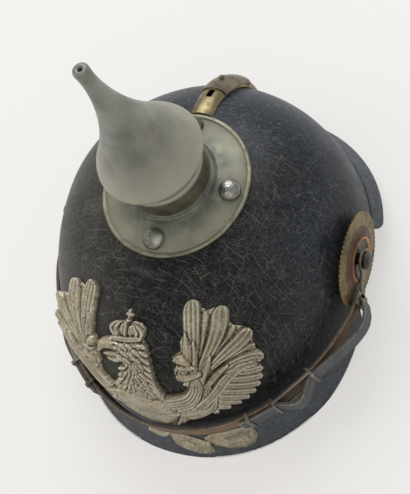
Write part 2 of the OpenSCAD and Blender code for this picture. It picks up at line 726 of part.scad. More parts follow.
// One leather lining, cut from above into ten tongues
module liner_tongues() color("#7a5638") place() {
    inset = skull_t + 2.2;
    ring = concat(lining, [for (i = [7:-1:0]) [lining[i][0] - 0.017, lining[i][1] - 1.2]]);
    difference() {
        union() {
            scale([skull_a - inset, skull_rear - inset, 1]) rotate_extrude(angle = 180) polygon(ring);
            rotate([0, 0, 180]) scale([skull_a - inset, skull_front - inset, 1])
                rotate_extrude(angle = 180) polygon(ring);
        }
        translate([0, 0, 40]) cylinder(r = 24.5, h = 40);
        for (i = [0:4]) rotate([0, 0, 36 * i + 18]) translate([-reach / 2, -2, 20]) cube([reach, 4, 60]);
    }
}

// Cord that draws the tongues' tips together
module liner_cord() color("#b7a684") place()
    translate([0, 0, lining[7][1] + 1.5]) rotate_extrude() translate([26.5, 0]) circle(r = 1.2, $fn = 24);

skull();
front_visor();
rear_visor();
spike_base();
spike();
base_studs();
stud_washers();
rear_spine();
spine_screws();
vent_slide();
front_plate();
plate_loops();
plate_wedges();
post_left();
post_right();
post_nuts();
cockade();
lug_left();
lug_right();
chinstrap();
buckle_left();
buckle_right();
strap_keepers();
liner_band();
liner_tongues();
liner_cord();
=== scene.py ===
import math

import bmesh
import bpy
import numpy as np
from mathutils import Matrix, Vector


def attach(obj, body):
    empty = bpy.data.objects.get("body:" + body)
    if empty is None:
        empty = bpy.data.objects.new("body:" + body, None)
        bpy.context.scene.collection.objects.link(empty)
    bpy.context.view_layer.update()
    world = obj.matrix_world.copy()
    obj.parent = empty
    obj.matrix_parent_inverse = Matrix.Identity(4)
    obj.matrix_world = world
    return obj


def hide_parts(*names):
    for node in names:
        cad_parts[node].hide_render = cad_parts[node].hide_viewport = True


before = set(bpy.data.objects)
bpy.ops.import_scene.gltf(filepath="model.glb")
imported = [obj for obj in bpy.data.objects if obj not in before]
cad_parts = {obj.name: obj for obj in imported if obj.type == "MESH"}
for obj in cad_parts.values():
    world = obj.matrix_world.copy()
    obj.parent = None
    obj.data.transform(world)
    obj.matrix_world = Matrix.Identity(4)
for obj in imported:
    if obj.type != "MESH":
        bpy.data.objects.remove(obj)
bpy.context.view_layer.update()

# Lengths are in millimetres, in helmet coordinates: the spike's axis is x = y = 0, the rim is z = 0.
ORIGIN = np.array([-1.9, 13.5, 23.0])  # where those coordinates start in the shared frame
FLOOR_Z = -ORIGIN[2]
SKULL_X, SKULL_FRONT, SKULL_REAR, SKULL_H = 94.0, 115.0, 90.0, 90.0  # half width, reach to front and rear, height
SKULL_T, VISOR_T = 2.8, 4.0
PLATE_Z, BASE_R, BASE_RISE, NECK_R = 86.84, 45.2, 8.0, 24.0  # base plate's edge height, radius, rise and neck
STUD_AT, STUD_R = 35.6, 6.4
SPINE_Y, SPINE_Z, SPINE_R = 42.0, 40.0, 49.0  # centre and radius of the spine's bend
POST_Y, POST_Z = -5.0, 30.0
BARE = 3.8  # how much further in the right lug and knob sit on their post
STRAP_Z, STRAP_OFF, STRAP_T, STRAP_GAP, STRAP_HALF = 5.6, 5.6, 2.2, 0.4, 6.5
BAR_Y, BAR_Z, BAR_R = -27.0, 15.0, 1.2  # the lug's bar that the strap goes round
SIDES = ((1, 0, "left"), (-1, BARE, "right"))


def metres(v):
    return (np.asarray(v, float).reshape(-1, 3) + ORIGIN) * 0.001


def round_way(n):
    """Even angles round a full turn."""
    return np.linspace(0, 2 * math.pi, n, False)


# ---------------------------------------------------------------- node materials

class Surface:
    """A procedural material: small helpers that add nodes and return their output sockets."""

    def __init__(self, name, metallic=0.0, roughness=0.5, **fixed):
        self.mat = bpy.data.materials.new(name)
        self.mat.use_nodes = True
        self.tree = self.mat.node_tree
        self.bsdf = next(n for n in self.tree.nodes if n.type == "BSDF_PRINCIPLED")
        for key, value in dict(Metallic=metallic, Roughness=roughness, **fixed).items():
            self.bsdf.inputs[key.replace("_", " ")].default_value = value
        self.at = self.add("ShaderNodeTexCoord").outputs["Object"]
        self.normal = None

    def add(self, kind, **settings):
        node = self.tree.nodes.new(kind)
        for key, value in settings.items():
            setattr(node, key, value)
        return node

    def put(self, socket, value):
        if hasattr(value, "is_output"):
            self.tree.links.new(value, socket)
        else:
            socket.default_value = value

    def moved(self, scale=(1, 1, 1), turn=(0, 0, 0), start=(0, 0, 0)):
        node = self.add("ShaderNodeMapping")
        for key, value in (("Vector", self.at), ("Location", start), ("Rotation", turn), ("Scale", scale)):
            self.put(node.inputs[key], value)
        return node.outputs[0]

    def texture(self, node, size_mm, at, **inputs):
        self.put(node.inputs["Vector"], at or self.at)
        for key, value in dict(Scale=1000.0 / size_mm, **inputs).items():
            node.inputs[key].default_value = value
        return node.outputs

    def noise(self, size_mm, detail=4.0, rough=0.55, at=None, warp=0.0):
        node = self.add("ShaderNodeTexNoise")
        return self.texture(node, size_mm, at, Detail=detail, Roughness=rough, Distortion=warp)["Fac"]

    def warped(self, size_mm, amount_mm):
        """The place, shifted by a noise."""
        shift = self.add("ShaderNodeVectorMath", operation="MULTIPLY_ADD")
        self.put(shift.inputs[0], self.texture(self.add("ShaderNodeTexNoise"), size_mm, None, Detail=2.0)["Color"])
        shift.inputs[1].default_value = (amount_mm * 0.002,) * 3
        self.put(shift.inputs[2], self.at)
        return shift.outputs[0]

    def cells(self, size_mm, feature="F1", at=None):
        return self.texture(self.add("ShaderNodeTexVoronoi", feature=feature), size_mm, at)["Distance"]

    def distance(self, at, place):
        node = self.add("ShaderNodeVectorMath", operation="DISTANCE")
        self.put(node.inputs[0], at)
        node.inputs[1].default_value = place
        return node.outputs["Value"]

    def span(self, value, low, high, out_low=0.0, out_high=1.0):
        node = self.add("ShaderNodeMapRange", interpolation_type="SMOOTHSTEP")
        self.put(node.inputs["Value"], value)
        for key, v in (("From Min", low), ("From Max", high), ("To Min", out_low), ("To Max", out_high)):
            node.inputs[key].default_value = v
        return node.outputs["Result"]

    def math(self, operation, a, b=0.0, c=0.0):
        node = self.add("ShaderNodeMath", operation=operation)
        for i, value in enumerate((a, b, c)):
            self.put(node.inputs[i], value)
        return node.outputs[0]

    def times(self, a, b):
        return self.math("MULTIPLY", a, b)

    def most(self, first, *others):
        for value in others:
            first = self.math("MAXIMUM", first, value)
        return first

    def less(self, a, b):
        return self.math("SUBTRACT", a, b)

    def mix(self, share, a, b):
        node = self.add("ShaderNodeMix", data_type="RGBA")
        self.put(node.inputs[0], share)
        for socket, value in ((node.inputs[6], a), (node.inputs[7], b)):
            self.put(socket, value if hasattr(value, "is_output") else (*srgb(value), 1.0))
        return node.outputs[2]

    def over(self, base, mask, share, colour):
        """The base with a colour over it where the mask is 1, at that share."""
        return self.mix(self.times(mask, share), base, colour)

    def split(self):
        node = self.add("ShaderNodeSeparateXYZ")
        self.put(node.inputs[0], self.at)
        return node.outputs

    def edges(self, low, high):
        """1 on convex edges, or in hollows where high is the lower level."""
        return self.span(self.add("ShaderNodeNewGeometry").outputs["Pointiness"], low, high)

    def colour(self, value):
        self.put(self.bsdf.inputs["Base Color"], value)

    def coloured(self):
        """What the base colour comes from so far."""
        return self.bsdf.inputs["Base Color"].links[0].from_socket

    def rough(self, value):
        self.put(self.bsdf.inputs["Roughness"], value)

    def bump(self, height, depth_mm, strength=1.0):
        node = self.add("ShaderNodeBump")
        self.put(node.inputs["Height"], height)
        node.inputs["Distance"].default_value = depth_mm * 0.001
        node.inputs["Strength"].default_value = strength
        if self.normal is not None:
            self.put(node.inputs["Normal"], self.normal)
        self.normal = node.outputs["Normal"]
        self.put(self.bsdf.inputs["Normal"], self.normal)


def srgb(colour):
    """Linear values of an sRGB colour given as 0 to 255."""
    return tuple(c / 255 / 12.92 if c <= 10 else ((c / 255 + 0.055) / 1.055) ** 2.4 for c in colour)


def skull_material():
    s = Surface("lacquered_leather", roughness=0.4, Coat_Weight=0.06, Coat_Roughness=0.2, Specular_IOR_Level=0.12)
    x, y, _ = s.split()
    cloud = s.noise(38, 5, 0.6)
    base = s.mix(cloud, (8, 8, 8), (27, 25, 23))
    # Painted sheen: a blue-grey reflection painted over the back and towards the back of the left side
    side = s.times(s.span(x, 0.03, 0.09), s.span(y, -0.075, 0.0))
    painted_sheen = s.most(s.span(y, 0.005, 0.085), s.times(side, 0.6))
    base = s.over(base, painted_sheen, s.span(cloud, 0.25, 0.7, 0.6, 1.0), (52, 57, 63))
    base = s.over(base, s.span(x, 0.005, -0.06), s.span(s.noise(24, 4), 0.2, 0.8, 0.35, 0.95), (78, 74, 67))
    # Fine pale grain, strongest at the back
    fibre = s.span(s.noise(1.3, 3, 0.65, at=s.moved((0.45, 1, 1), (0.3, 0.2, 0.6))), 0.47, 0.66)
    base = s.over(base, fibre, s.span(painted_sheen, 0.0, 1.0, 0.06, 0.3), (114, 120, 128))
    # Nets of cracks in the lacquer: cell size, warp, line width, the patches that show them, share
    cracks = []
    for size, warp, width, patches, shown, share in (
            (3.3, (9, 0.7), (0.045, 0.014), s.noise(9, 5, 0.75), (0.36, 0.62), 0.3),
            (1.6, (7, 0.4), (0.07, 0.02), s.noise(13, 5, 0.75, at=s.moved(start=(0.1, 0.2, 0))), (0.38, 0.64), 0.24),
            (10, (30, 1.5), (0.014, 0.005), s.noise(11, 4, 0.7), (0.42, 0.54), 0.42)):
        net = s.span(s.cells(size, "DISTANCE_TO_EDGE", s.warped(*warp)), *width)
        cracks.append(s.times(s.times(net, s.span(patches, *shown)), share))
    # Cracks in arcs round the plate
    rings = s.math("PINGPONG", s.times(s.distance(s.warped(30, 6), (-0.006, -0.085, 0.07)), 250.0), 0.5)
    patches = s.span(s.noise(11, 3, 0.6, at=s.moved(start=(0.3, 0, 0.2))), 0.47, 0.56)
    cracks.append(s.times(s.times(s.span(rings, 0.04, 0.015), patches), 0.6))
    cracks = s.times(s.most(*cracks), s.span(painted_sheen, 0.9, 0.1, 0.3, 1.0))
    # Long thin scratches: the steep part of a stretched noise
    marks = []
    for scale, turn, size, level in (((1, 9, 1), (0.5, 0.3, 0.9), 34, 0.606), ((1, 1, 10), (0.8, 0.9, 0.2), 38, 0.6),
                                     ((7, 1, 1), (0.2, 0.7, 0.4), 30, 0.59)):
        field = s.noise(size, 2, 0.5, at=s.moved(scale, turn, (0.03, 0, 0)))
        marks.append(s.times(s.span(field, level, level + 0.006), s.span(field, level + 0.014, level + 0.008)))
    marks = s.times(s.most(*marks), s.span(s.noise(15, 2), 0.42, 0.56))
    s.colour(s.over(s.mix(cracks, base, (122, 119, 110)), marks, 0.32, (124, 121, 112)))
    s.rough(s.math("ADD", s.span(s.noise(9, 4, 0.7), 0.25, 0.8, 0.34, 0.5), s.times(cracks, 0.3)))
    s.bump(s.noise(1.0, 3, 0.6), 0.1, 0.4)
    s.bump(s.less(1.0, cracks), 0.1, 0.6)
    s.bump(s.noise(21, 2), 0.5, 0.3)
    return s.mat


def visor_material():
    s = Surface("grained_leather", roughness=0.55, Coat_Weight=0.1, Coat_Roughness=0.4)
    grain = s.cells(1.7, "SMOOTH_F1", s.warped(5, 1.8))
    folds = s.noise(3.2, 3, 0.6, at=s.moved((1, 1.7, 1), (0, 0, 0.5)), warp=0.8)
    base = s.mix(s.noise(26, 4, 0.6), (50, 55, 60), (76, 82, 87))
    base = s.over(base, s.span(s.split()[0], 0.01, -0.07), 0.7, (74, 68, 60))
    base = s.over(base, s.span(grain, 0.62, 0.2), 0.35, (96, 98, 102))
    base = s.over(base, s.span(folds, 0.62, 0.4), 0.5, (34, 36, 40))
    # Paler on convex edges: partly the edge's own pale lip, partly a painted highlight along it
    s.colour(s.over(base, s.edges(0.53, 0.6), s.span(s.noise(9, 3), 0.35, 0.6), (150, 142, 128)))
    s.rough(s.span(s.noise(6, 4), 0.3, 0.7, 0.46, 0.66))
    s.bump(s.less(1.0, grain), 0.28, 0.7)
    s.bump(folds, 0.4, 0.7)
    return s.mat


def steel_surface(name, pale, dark, rough, tint, metallic=0.85):
    s = Surface(name, metallic=metallic)
    base = s.mix(s.span(s.noise(24, 5, 0.62), 0.3, 0.7), dark, pale)
    base = s.over(base, s.span(s.noise(30, 3, 0.6, at=s.moved(start=(0.2, 0, 0))), 0.5, 0.72), tint, (137, 126, 105))
    spots = s.times(s.span(s.cells(2.6), 0.22, 0.1), s.span(s.noise(6, 3), 0.52, 0.66))
    base = s.over(base, spots, 0.55, (84, 82, 76))
    s.colour(s.over(base, s.span(s.noise(0.7, 2, 0.7), 0.62, 0.74), 0.4, (176, 176, 168)))
    s.rough(s.math("ADD", s.span(s.noise(10, 4, 0.6), 0.3, 0.72, *rough), s.times(spots, 0.2)))
    s.bump(s.less(s.noise(1.6, 4, 0.6), s.times(spots, 0.5)), 0.10, 0.5)
    s.bump(s.noise(14, 2), 0.5, 0.3)
    return s


def brass(name, pale, dark, patch, rough=(0.3, 0.5), metallic=0.9):
    s = Surface(name, metallic=metallic)
    stain = s.span(s.noise(5, 4, 0.65, at=s.moved(start=(0.1, 0.3, 0))), 0.5, 0.72)
    base = s.over(s.mix(s.span(s.noise(11, 5, 0.62), 0.32, 0.68), dark, pale), stain, 0.7, patch)
    speck = s.times(s.span(s.cells(1.1), 0.24, 0.1), s.span(s.noise(4, 2), 0.5, 0.65))
    s.colour(s.over(base, speck, 0.6, (52, 44, 34)))
    s.rough(s.math("ADD", s.span(s.noise(5, 4), 0.3, 0.7, *rough), s.times(stain, 0.12)))
    s.bump(s.noise(1.3, 3, 0.6), 0.07, 0.5)
    s.bump(s.noise(9, 2), 0.3, 0.3)
    return s.mat


def plate_material():
    s = Surface("struck_metal", metallic=0.7)
    base = s.mix(s.span(s.noise(9, 5, 0.62), 0.3, 0.7), (152, 141, 117), (188, 178, 153))
    base = s.over(base, s.span(s.noise(13, 3, 0.6, at=s.moved(start=(0.4, 0, 0.1))), 0.5, 0.7), 0.6, (158, 136, 98))
    rust = s.times(s.span(s.noise(2.4, 4, 0.7), 0.6, 0.72), s.span(s.noise(15, 2), 0.5, 0.62))
    base = s.over(base, rust, 0.6, (112, 80, 54))
    dirt = s.times(s.edges(0.5, 0.42), s.span(s.noise(7, 3), 0.2, 0.6, 0.6, 1.0))
    base = s.over(base, dirt, 0.9, (58, 50, 36))
    base = s.mix(s.span(s.split()[0], 0.015, 0.07, 0.0, 0.5), base, (98, 86, 64))
    # One noise for dark specks where it is low and painted glints where it is high
    fleck_and_glint = s.noise(1.5, 4, 0.75)
    base = s.over(base, s.span(fleck_and_glint, 0.5, 0.36), 0.6, (84, 74, 54))
    # Pale on convex crests and in bright specks: rubbed wear and painted highlights on the crests, painted glints in
    # the specks
    s.colour(s.over(base, s.most(s.edges(0.52, 0.58), s.times(s.span(fleck_and_glint, 0.56, 0.66), 0.7)), 0.75, (222, 216, 198)))
    s.rough(s.math("ADD", s.span(s.noise(3, 4), 0.3, 0.7, 0.36, 0.52), s.times(dirt, 0.25)))
    s.bump(s.noise(0.8, 3, 0.6), 0.07, 0.6)
    return s.mat


def strap_material(name, pale, dark, edge):
    s = Surface(name, roughness=0.6)
    along = s.noise(4.5, 4, 0.7, at=s.moved((0.35, 0.35, 2.4)))
    base = s.over(s.mix(s.noise(14, 4, 0.6), dark, pale), s.span(along, 0.45, 0.66), 0.6, dark)
    # Painted highlights: the edge colour lies on convex edges as thin reflections along the strap
    s.colour(s.over(base, s.edges(0.52, 0.58), s.span(s.noise(3, 3), 0.3, 0.6), edge))
    s.rough(s.span(s.noise(4, 3), 0.3, 0.7, 0.5, 0.72))
    s.bump(s.cells(0.9, "F1", s.warped(2, 0.6)), 0.1, 0.6)
    s.bump(along, 0.25, 0.5)
    return s.mat


def plain_leather(name, pale, dark):
    s = Surface(name, roughness=0.7)
    s.colour(s.over(s.mix(s.noise(16, 5, 0.6), dark, pale), s.span(s.noise(3.5, 3), 0.5, 0.7), 0.4, dark))
    s.rough(s.span(s.noise(6, 3), 0.3, 0.7, 0.6, 0.8))
    s.bump(s.cells(1.2, "SMOOTH_F1", s.warped(3, 1)), 0.15, 0.6)
    s.bump(s.noise(12, 3), 0.8, 0.4)
    return s.mat


def cord_material():
    s = Surface("twisted_cotton", roughness=0.85)
    s.colour(s.mix(s.noise(1.2, 3), (150, 134, 104), (196, 182, 148)))
    wave = s.add("ShaderNodeTexWave", wave_type="BANDS", bands_direction="DIAGONAL")
    s.put(wave.inputs["Vector"], s.at)
    wave.inputs["Scale"].default_value = 420
    s.bump(wave.outputs["Fac"], 0.3, 0.8)
    return s.mat


def spike_material():
    s = steel_surface("grey_steel", (150, 149, 138), (118, 118, 108), (0.42, 0.56), 0.6, 0.6)
    # Paler down the flare
    s.colour(s.over(s.coloured(), s.span(s.split()[2], 0.18, 0.152), 0.6, (178, 173, 152)))
    return s.mat


def base_material():
    s = steel_surface("base_steel", (152, 149, 130), (124, 122, 106), (0.48, 0.6), 0.5, 0.55)
    # Darker round the neck
    inner = s.span(s.distance(s.moved((1, 1, 0)), (-0.0019, 0.0135, 0)), 0.04, 0.027)
    s.colour(s.over(s.coloured(), inner, s.span(s.noise(9, 5, 0.7), 0.3, 0.62, 0.35, 0.95), (92, 95, 86)))
    return s.mat


def stud_material():
    # Pale and dark lie far apart: the pitted mottle, with painted sparkle highlights in its pale patches
    s = steel_surface("stud_steel", (176, 174, 164), (84, 82, 74), (0.2, 0.4), 0.3, 0.95)
    s.bump(s.noise(2.2, 3, 0.6), 0.9, 0.6)
    return s.mat


leather, visor_leather, plate_metal, cord_cotton = skull_material(), visor_material(), plate_material(), cord_material()
steel, base_steel, stud_steel = spike_material(), base_material(), stud_material()
buckle_metal = steel_surface("buckle_metal", (150, 144, 130), (100, 95, 84), (0.26, 0.42), 0.4).mat
rim_brass = brass("rim_brass", (156, 150, 128), (124, 118, 98), (104, 97, 76), (0.4, 0.55), 0.65)
neck_metal = brass("neck_metal", (122, 118, 98), (84, 80, 64), (96, 82, 58), (0.4, 0.52), 0.6)
spine_brass = brass("spine_brass", (156, 142, 106), (120, 108, 78), (104, 92, 70))
slide_bronze = brass("slide_bronze", (140, 128, 102), (104, 96, 80), (92, 84, 74))
cockade_brass = brass("cockade_brass", (140, 121, 82), (98, 84, 56), (78, 66, 46), (0.34, 0.5))
# The crest of the cockade's raised ring: its copper colour with a painted highlight along the crest
cockade_copper_and_highlight = brass("cockade_copper_and_highlight", (198, 138, 92), (164, 108, 68), (120, 82, 56), (0.3, 0.44))
cockade_brown = brass("cockade_brown", (104, 80, 56), (78, 60, 42), (66, 52, 40), (0.42, 0.56), 0.7)
lug_metal = brass("lug_metal", (142, 132, 112), (110, 100, 84), (96, 84, 66), (0.34, 0.5))
post_metal = brass("post_metal", (104, 98, 88), (66, 62, 58), (84, 74, 60), (0.3, 0.46))
# The last colour of each strap is its painted edge highlight
strap_outer = strap_material("strap_grey", (96, 97, 96), (62, 64, 66), (150, 148, 142))
strap_inner = strap_material("strap_tan", (146, 110, 74), (88, 72, 56), (166, 148, 122))
strap_edge = strap_material("strap_side", (96, 84, 68), (58, 52, 46), (150, 138, 116))
thread = plain_leather("stitches", (112, 108, 98), (84, 80, 72))
liner_leather = plain_leather("liner_leather", (134, 92, 58), (92, 62, 40))
band_leather = plain_leather("band_leather", (110, 76, 50), (74, 52, 36))


# ---------------------------------------------------------------- mesh helpers

def grid_faces(n, m, close_n=False, close_m=False):
    rows = range(n if close_n else n - 1)
    cols = range(m if close_m else m - 1)
    return [(i * m + j, i * m + (j + 1) % m, (i + 1) % n * m + (j + 1) % m, (i + 1) % n * m + j)
            for i in rows for j in cols]


def tube(rows):
    """A closed shell through rows of one closed section, with flat ends."""
    rows = np.asarray(rows, float)
    n, m = rows.shape[:2]
    faces = grid_faces(n, m, False, True) + [tuple(range(m)), tuple((n - 1) * m + k for k in range(m))]
    return rows.reshape(-1, 3), faces


def sheet(outer, inner, hole=None):
    """A closed shell between two grids of points; hole gives two rows and two columns with open cells between."""
    n, m = outer.shape[:2]
    shift = n * m

    def outline(i0, i1, j0, j1):
        return ([(i * m + j, (i + 1) * m + j) for j in (j0, j1) for i in range(i0, i1)]
                + [(i * m + j, i * m + j + 1) for i in (i0, i1) for j in range(j0, j1)])

    cells, border = grid_faces(n, m), outline(0, n - 1, 0, m - 1)
    if hole:
        i0, i1, j0, j1 = hole
        cells = [f for f in cells if not (i0 <= f[0] // m < i1 and j0 <= f[0] % m < j1)]
        border = outline(*hole) + border
    faces = cells + [tuple(k + shift for k in reversed(f)) for f in cells]
    faces += [(a, b, b + shift, a + shift) for a, b in border]
    return np.vstack([outer.reshape(-1, 3), inner.reshape(-1, 3)]), faces


def box(xs, ys, zs):
    return ([(x, y, z) for x in xs for y in ys for z in zs],
            [(0, 1, 3, 2), (4, 6, 7, 5), (0, 4, 5, 1), (2, 3, 7, 6), (0, 2, 6, 4), (1, 5, 7, 3)])


def joined(parts):
    """Verts and faces of several (verts, faces) pairs as one pair."""
    verts, faces, base = [], [], 0
    for v, f in parts:
        verts.append(np.asarray(v, float).reshape(-1, 3))
        faces += [tuple(k + base for k in face) for face in f]
        base += len(verts[-1])
    return np.vstack(verts), faces


def piece(name, shape, body, mats, node=None, index=None, sharp=35, bevel=None):
    """A visible piece from (verts, faces). bevel is (width, segments, least angle between faces)."""
    verts, faces = shape
    mesh = bpy.data.meshes.new(name)
    mesh.from_pydata(metres(verts).tolist(), [], faces)
    for m in mats if isinstance(mats, list) else [mats]:
        mesh.materials.append(m)
    if index is not None:
        mesh.polygons.foreach_set("material_index", index)
    bm = bmesh.new()
    bm.from_mesh(mesh)
    bmesh.ops.remove_doubles(bm, verts=bm.verts, dist=1e-6)
    bmesh.ops.recalc_face_normals(bm, faces=bm.faces)
    bm.to_mesh(mesh)
    bm.free()
    mesh.polygons.foreach_set("use_smooth", [True] * len(mesh.polygons))
    mesh.set_sharp_from_angle(angle=math.radians(sharp))
    ob = bpy.data.objects.new(name, mesh)
    bpy.context.scene.collection.objects.link(ob)
    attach(ob, body)
    if node:
        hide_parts(node)
    if bevel:
        mod = ob.modifiers.new("soft_edges", "BEVEL")
        mod.width, mod.segments, mod.limit_method = bevel[0] * 0.001, bevel[1], "ANGLE"
        mod.angle_limit = math.radians(bevel[2])
        bpy.context.view_layer.update()
        ob.data = bpy.data.meshes.new_from_object(ob.evaluated_get(bpy.context.evaluated_depsgraph_get()))
        ob.modifiers.clear()
        bpy.data.meshes.remove(mesh)


def filleted(points, radius, steps=4):
    """A closed 2-D outline with its corners rounded; radius is one number or one for each point."""
    p = np.asarray(points, float)
    n = len(p)
    radii = [radius] * n if np.isscalar(radius) else list(radius)
    out = []
    for i in range(n):
        a, b, c = p[i - 1], p[i], p[(i + 1) % n]
        u, w = (a - b), (c - b)
        lu, lw = np.linalg.norm(u), np.linalg.norm(w)
        u, w = u / lu, w / lw
        half = math.acos(max(-1, min(1, float(u @ w)))) / 2
        if radii[i] <= 0 or half > math.radians(88):
            out.append(b)
            continue
        cut = min(radii[i] / math.tan(half), 0.45 * lu, 0.45 * lw)
        s, e = b + u * cut, b + w * cut
        out += [(1 - t) ** 2 * s + 2 * t * (1 - t) * b + t * t * e for t in (k / steps for k in range(steps + 1))]
    return np.array(out)


def curve(points, per):
    """A smooth curve through the points."""
    p = np.asarray(points, float)
    n = len(p)
    out = []
    for i in range(n - 1):
        a = p[i - 1] if i > 0 else 2 * p[0] - p[1]
        b, c = p[i], p[i + 1]
        d = p[i + 2] if i + 2 < n else 2 * p[-1] - p[-2]
        for t in (k / per for k in range(per)):
            out.append(0.5 * (2 * b + (c - a) * t + (2 * a - 5 * b + 4 * c - d) * t * t
                              + (3 * b - 3 * c + d - a) * t ** 3))
    return np.array(out + [p[-1]])


def lathe(profile, seg, ripple=None):
    """Turns a closed outline of (r, z) round the z axis. ripple(r, angle) may change r."""
    p = np.asarray(profile, float)
    rows = []
    for i in range(seg):
        t = 2 * math.pi * i / seg
        r = np.array([ripple(q, t) if ripple else q for q in p[:, 0]])
        rows.append(np.stack([r * math.cos(t), r * math.sin(t), p[:, 1]], 1))
    return np.array(rows).reshape(-1, 3), grid_faces(seg, len(p), True, True)


def turned(points, angle):
    """Points turned round the z axis."""
    p = np.asarray(points, float)
    c, s = math.cos(angle), math.sin(angle)
    return np.stack([p[:, 0] * c - p[:, 1] * s, p[:, 0] * s + p[:, 1] * c, p[:, 2]], 1)


def dome(share, angle, off, height):
    """Point of the skull's form: angle from the left (+X) towards the front, share of the way out."""
    length = SKULL_FRONT if math.sin(angle) > 0 else SKULL_REAR
    return np.array([(SKULL_X + off) * math.cos(angle) * share, -(length + off) * math.sin(angle) * share, height])


def skull_shell(profile, seg):
    """Closed shell round the skull from (share, off, height) rows."""
    rows = [[dome(s, 2 * math.pi * i / seg, off, h) for s, off, h in profile] for i in range(seg)]
    return np.array(rows).reshape(-1, 3), grid_faces(seg, len(profile), True, True)


def mean_place(profile, face):
    """Middle of a lathed face, as (r, z) of its profile."""
    return np.mean([profile[k % len(profile)] for k in face], 0)


# ---------------------------------------------------------------- skull and visors

SEAT_SHARE = 0.34  # inside this share of the skull's width the hole's edge is drawn from listed points
outer = [(math.cos(u) ** (2 / 3), 0, SKULL_H * math.sin(u) ** (2 / 3)) for u in np.radians(np.arange(61) * 74 / 60)]
inner = [(s, -SKULL_T, h * (SKULL_H - 4.2) / SKULL_H) for s, off, h in outer]
outer = [(1, -0.9, -0.0), (1, -0.25, 0.25), (1, 0, 0.9)] + outer[1:]
inner = [(1, -2.3, 0.15), (1, -SKULL_T, 0.8)] + inner[1:]
hole = [(share, 0, h) for share, h in ((0.30, 89.2), (0.22, 89.6), (15.6 / 94, 89.8), (15.1 / 94, 89.4),
    (15.1 / 94, 86.2), (15.6 / 94, 85.9), (0.22, 85.7), (0.30, 85.2))]
v, f = skull_shell([r for r in outer if r[0] > SEAT_SHARE] + hole + [r for r in reversed(inner) if r[0] > SEAT_SHARE],
    192)
# Leather under the base plate lies flat against it
r = np.hypot(v[:, 0], v[:, 1])
under = (r < 55) & (v[:, 2] > 60) & (r > 16)
v[under, 2] = np.minimum(v[under, 2], PLATE_Z - 0.05 + 0.14 * (BASE_R - r[under]))
piece("skull_leather", (v, f), "helmet", leather, "skull", sharp=50)

VISOR_UP = 3.0  # top of a visor's root over the rim
FRONT_FALL, REAR_FALL = 1.75 * SKULL_FRONT, 1.95 * SKULL_REAR  # drop for each share of the way out


def visor_outline(front):
    """Outline from above: part of a superellipse, closed by a point beside the skull at each end."""
    half, reach, power, middle, end, count = ((96, -109, 2.15, -20, -20.2, 600) if front
                                              else (94.5, 88, 1.92, 14, 16.0, 400))
    t = np.radians(np.linspace(180, 360 if front else 0, count))
    c, d = np.cos(t), np.sin(t)
    pts = np.stack([half * np.sign(c) * np.abs(c) ** (2 / power), middle + reach * np.abs(d) ** (2 / power)], 1)
    return np.vstack([[(-92, end)], pts[pts[:, 1] < end if front else pts[:, 1] > end], [(92, end)]])


def visor(name, front, node):
    length, fall, start = (SKULL_FRONT, FRONT_FALL, 10.9) if front else (SKULL_REAR, REAR_FALL, 17.4)
    root, roll, steps = 0.992, 0.012, 14
    scaled = visor_outline(front) / (SKULL_X, length)
    angle = np.degrees(np.arctan2(np.abs(scaled[:, 1]), scaled[:, 0]))
    order = np.argsort(angle)
    ways = np.concatenate([np.linspace(start, start + 5, 16, False), np.linspace(start + 5, 175 - start, 130),
                           np.linspace(175 - start, 180 - start, 17)[1:]])
    out = np.interp(ways, angle[order], np.hypot(scaled[:, 0], scaled[:, 1])[order])
    # Both ends are rounded off towards the skull
    near_end = np.clip(np.minimum(ways - start, 180 - start - ways) / 4.5, 0, 1)
    out = np.maximum(root + (out - root) * np.sqrt(1 - (1 - near_end) ** 2), root + 0.004)

    def top(s):
        return VISOR_UP - fall * (s - 1)

    rows = []
    for w, end in zip(np.radians(ways), out):
        reach = end - root
        edge = min(roll, reach * 0.3)
        flat = reach - roll * min(1, reach / 0.05)
        row = [(s, top(s)) for s in (root + flat * k / steps for k in range(steps + 1))]
        for u in np.radians(90 - 22.5 * np.arange(1, 8)):
            row.append((end - edge + edge * math.cos(u), top(end) - VISOR_T / 2 + VISOR_T / 2 * math.sin(u)))
        row += [(s, top(s) - VISOR_T) for s in (end - edge - (end - edge - root) * k / steps for k in range(steps + 1))]
        deep = -length if front else length
        rows.append([(SKULL_X * s * math.cos(w), deep * s * math.sin(w), max(z, FLOOR_Z)) for s, z in row])
    piece(name, tube(rows), "helmet", visor_leather, node, sharp=60)


visor("front_visor_leather", True, "front_visor")
visor("rear_visor_leather", False, "rear_visor")

# Sewn edge roll along the skull's rim, above the rear visor
path = np.array([dome(1, -math.radians(1.5 * k), 0, 5.4) for k in range(121)])
rows = []
for k, p in enumerate(path):
    tangent = path[min(k + 1, 120)] - path[max(k - 1, 0)]
    tangent /= np.linalg.norm(tangent)
    up = np.array([p[0] / SKULL_X ** 2, p[1] / SKULL_REAR ** 2, 0])
    up /= np.linalg.norm(up)
    up = up - tangent * (up @ tangent)
    up /= np.linalg.norm(up)
    side = np.cross(tangent, up)
    rows.append([p + 0.9 * math.cos(a) * up + 2.2 * math.sin(a) * side for a in round_way(12)])
piece("rear_edge_roll", tube(rows), "helmet", leather, None, sharp=60)

# ---------------------------------------------------------------- spike and base

def plate_top(r):
    u = (BASE_R - r) / (BASE_R - NECK_R)
    return PLATE_Z + BASE_RISE * u + 0.9 * math.sin(math.pi * u)


def raised(points):
    """Outline of (r, height over the base plate's edge), in helmet coordinates."""
    return [(r, PLATE_Z + h) for r, h in points]


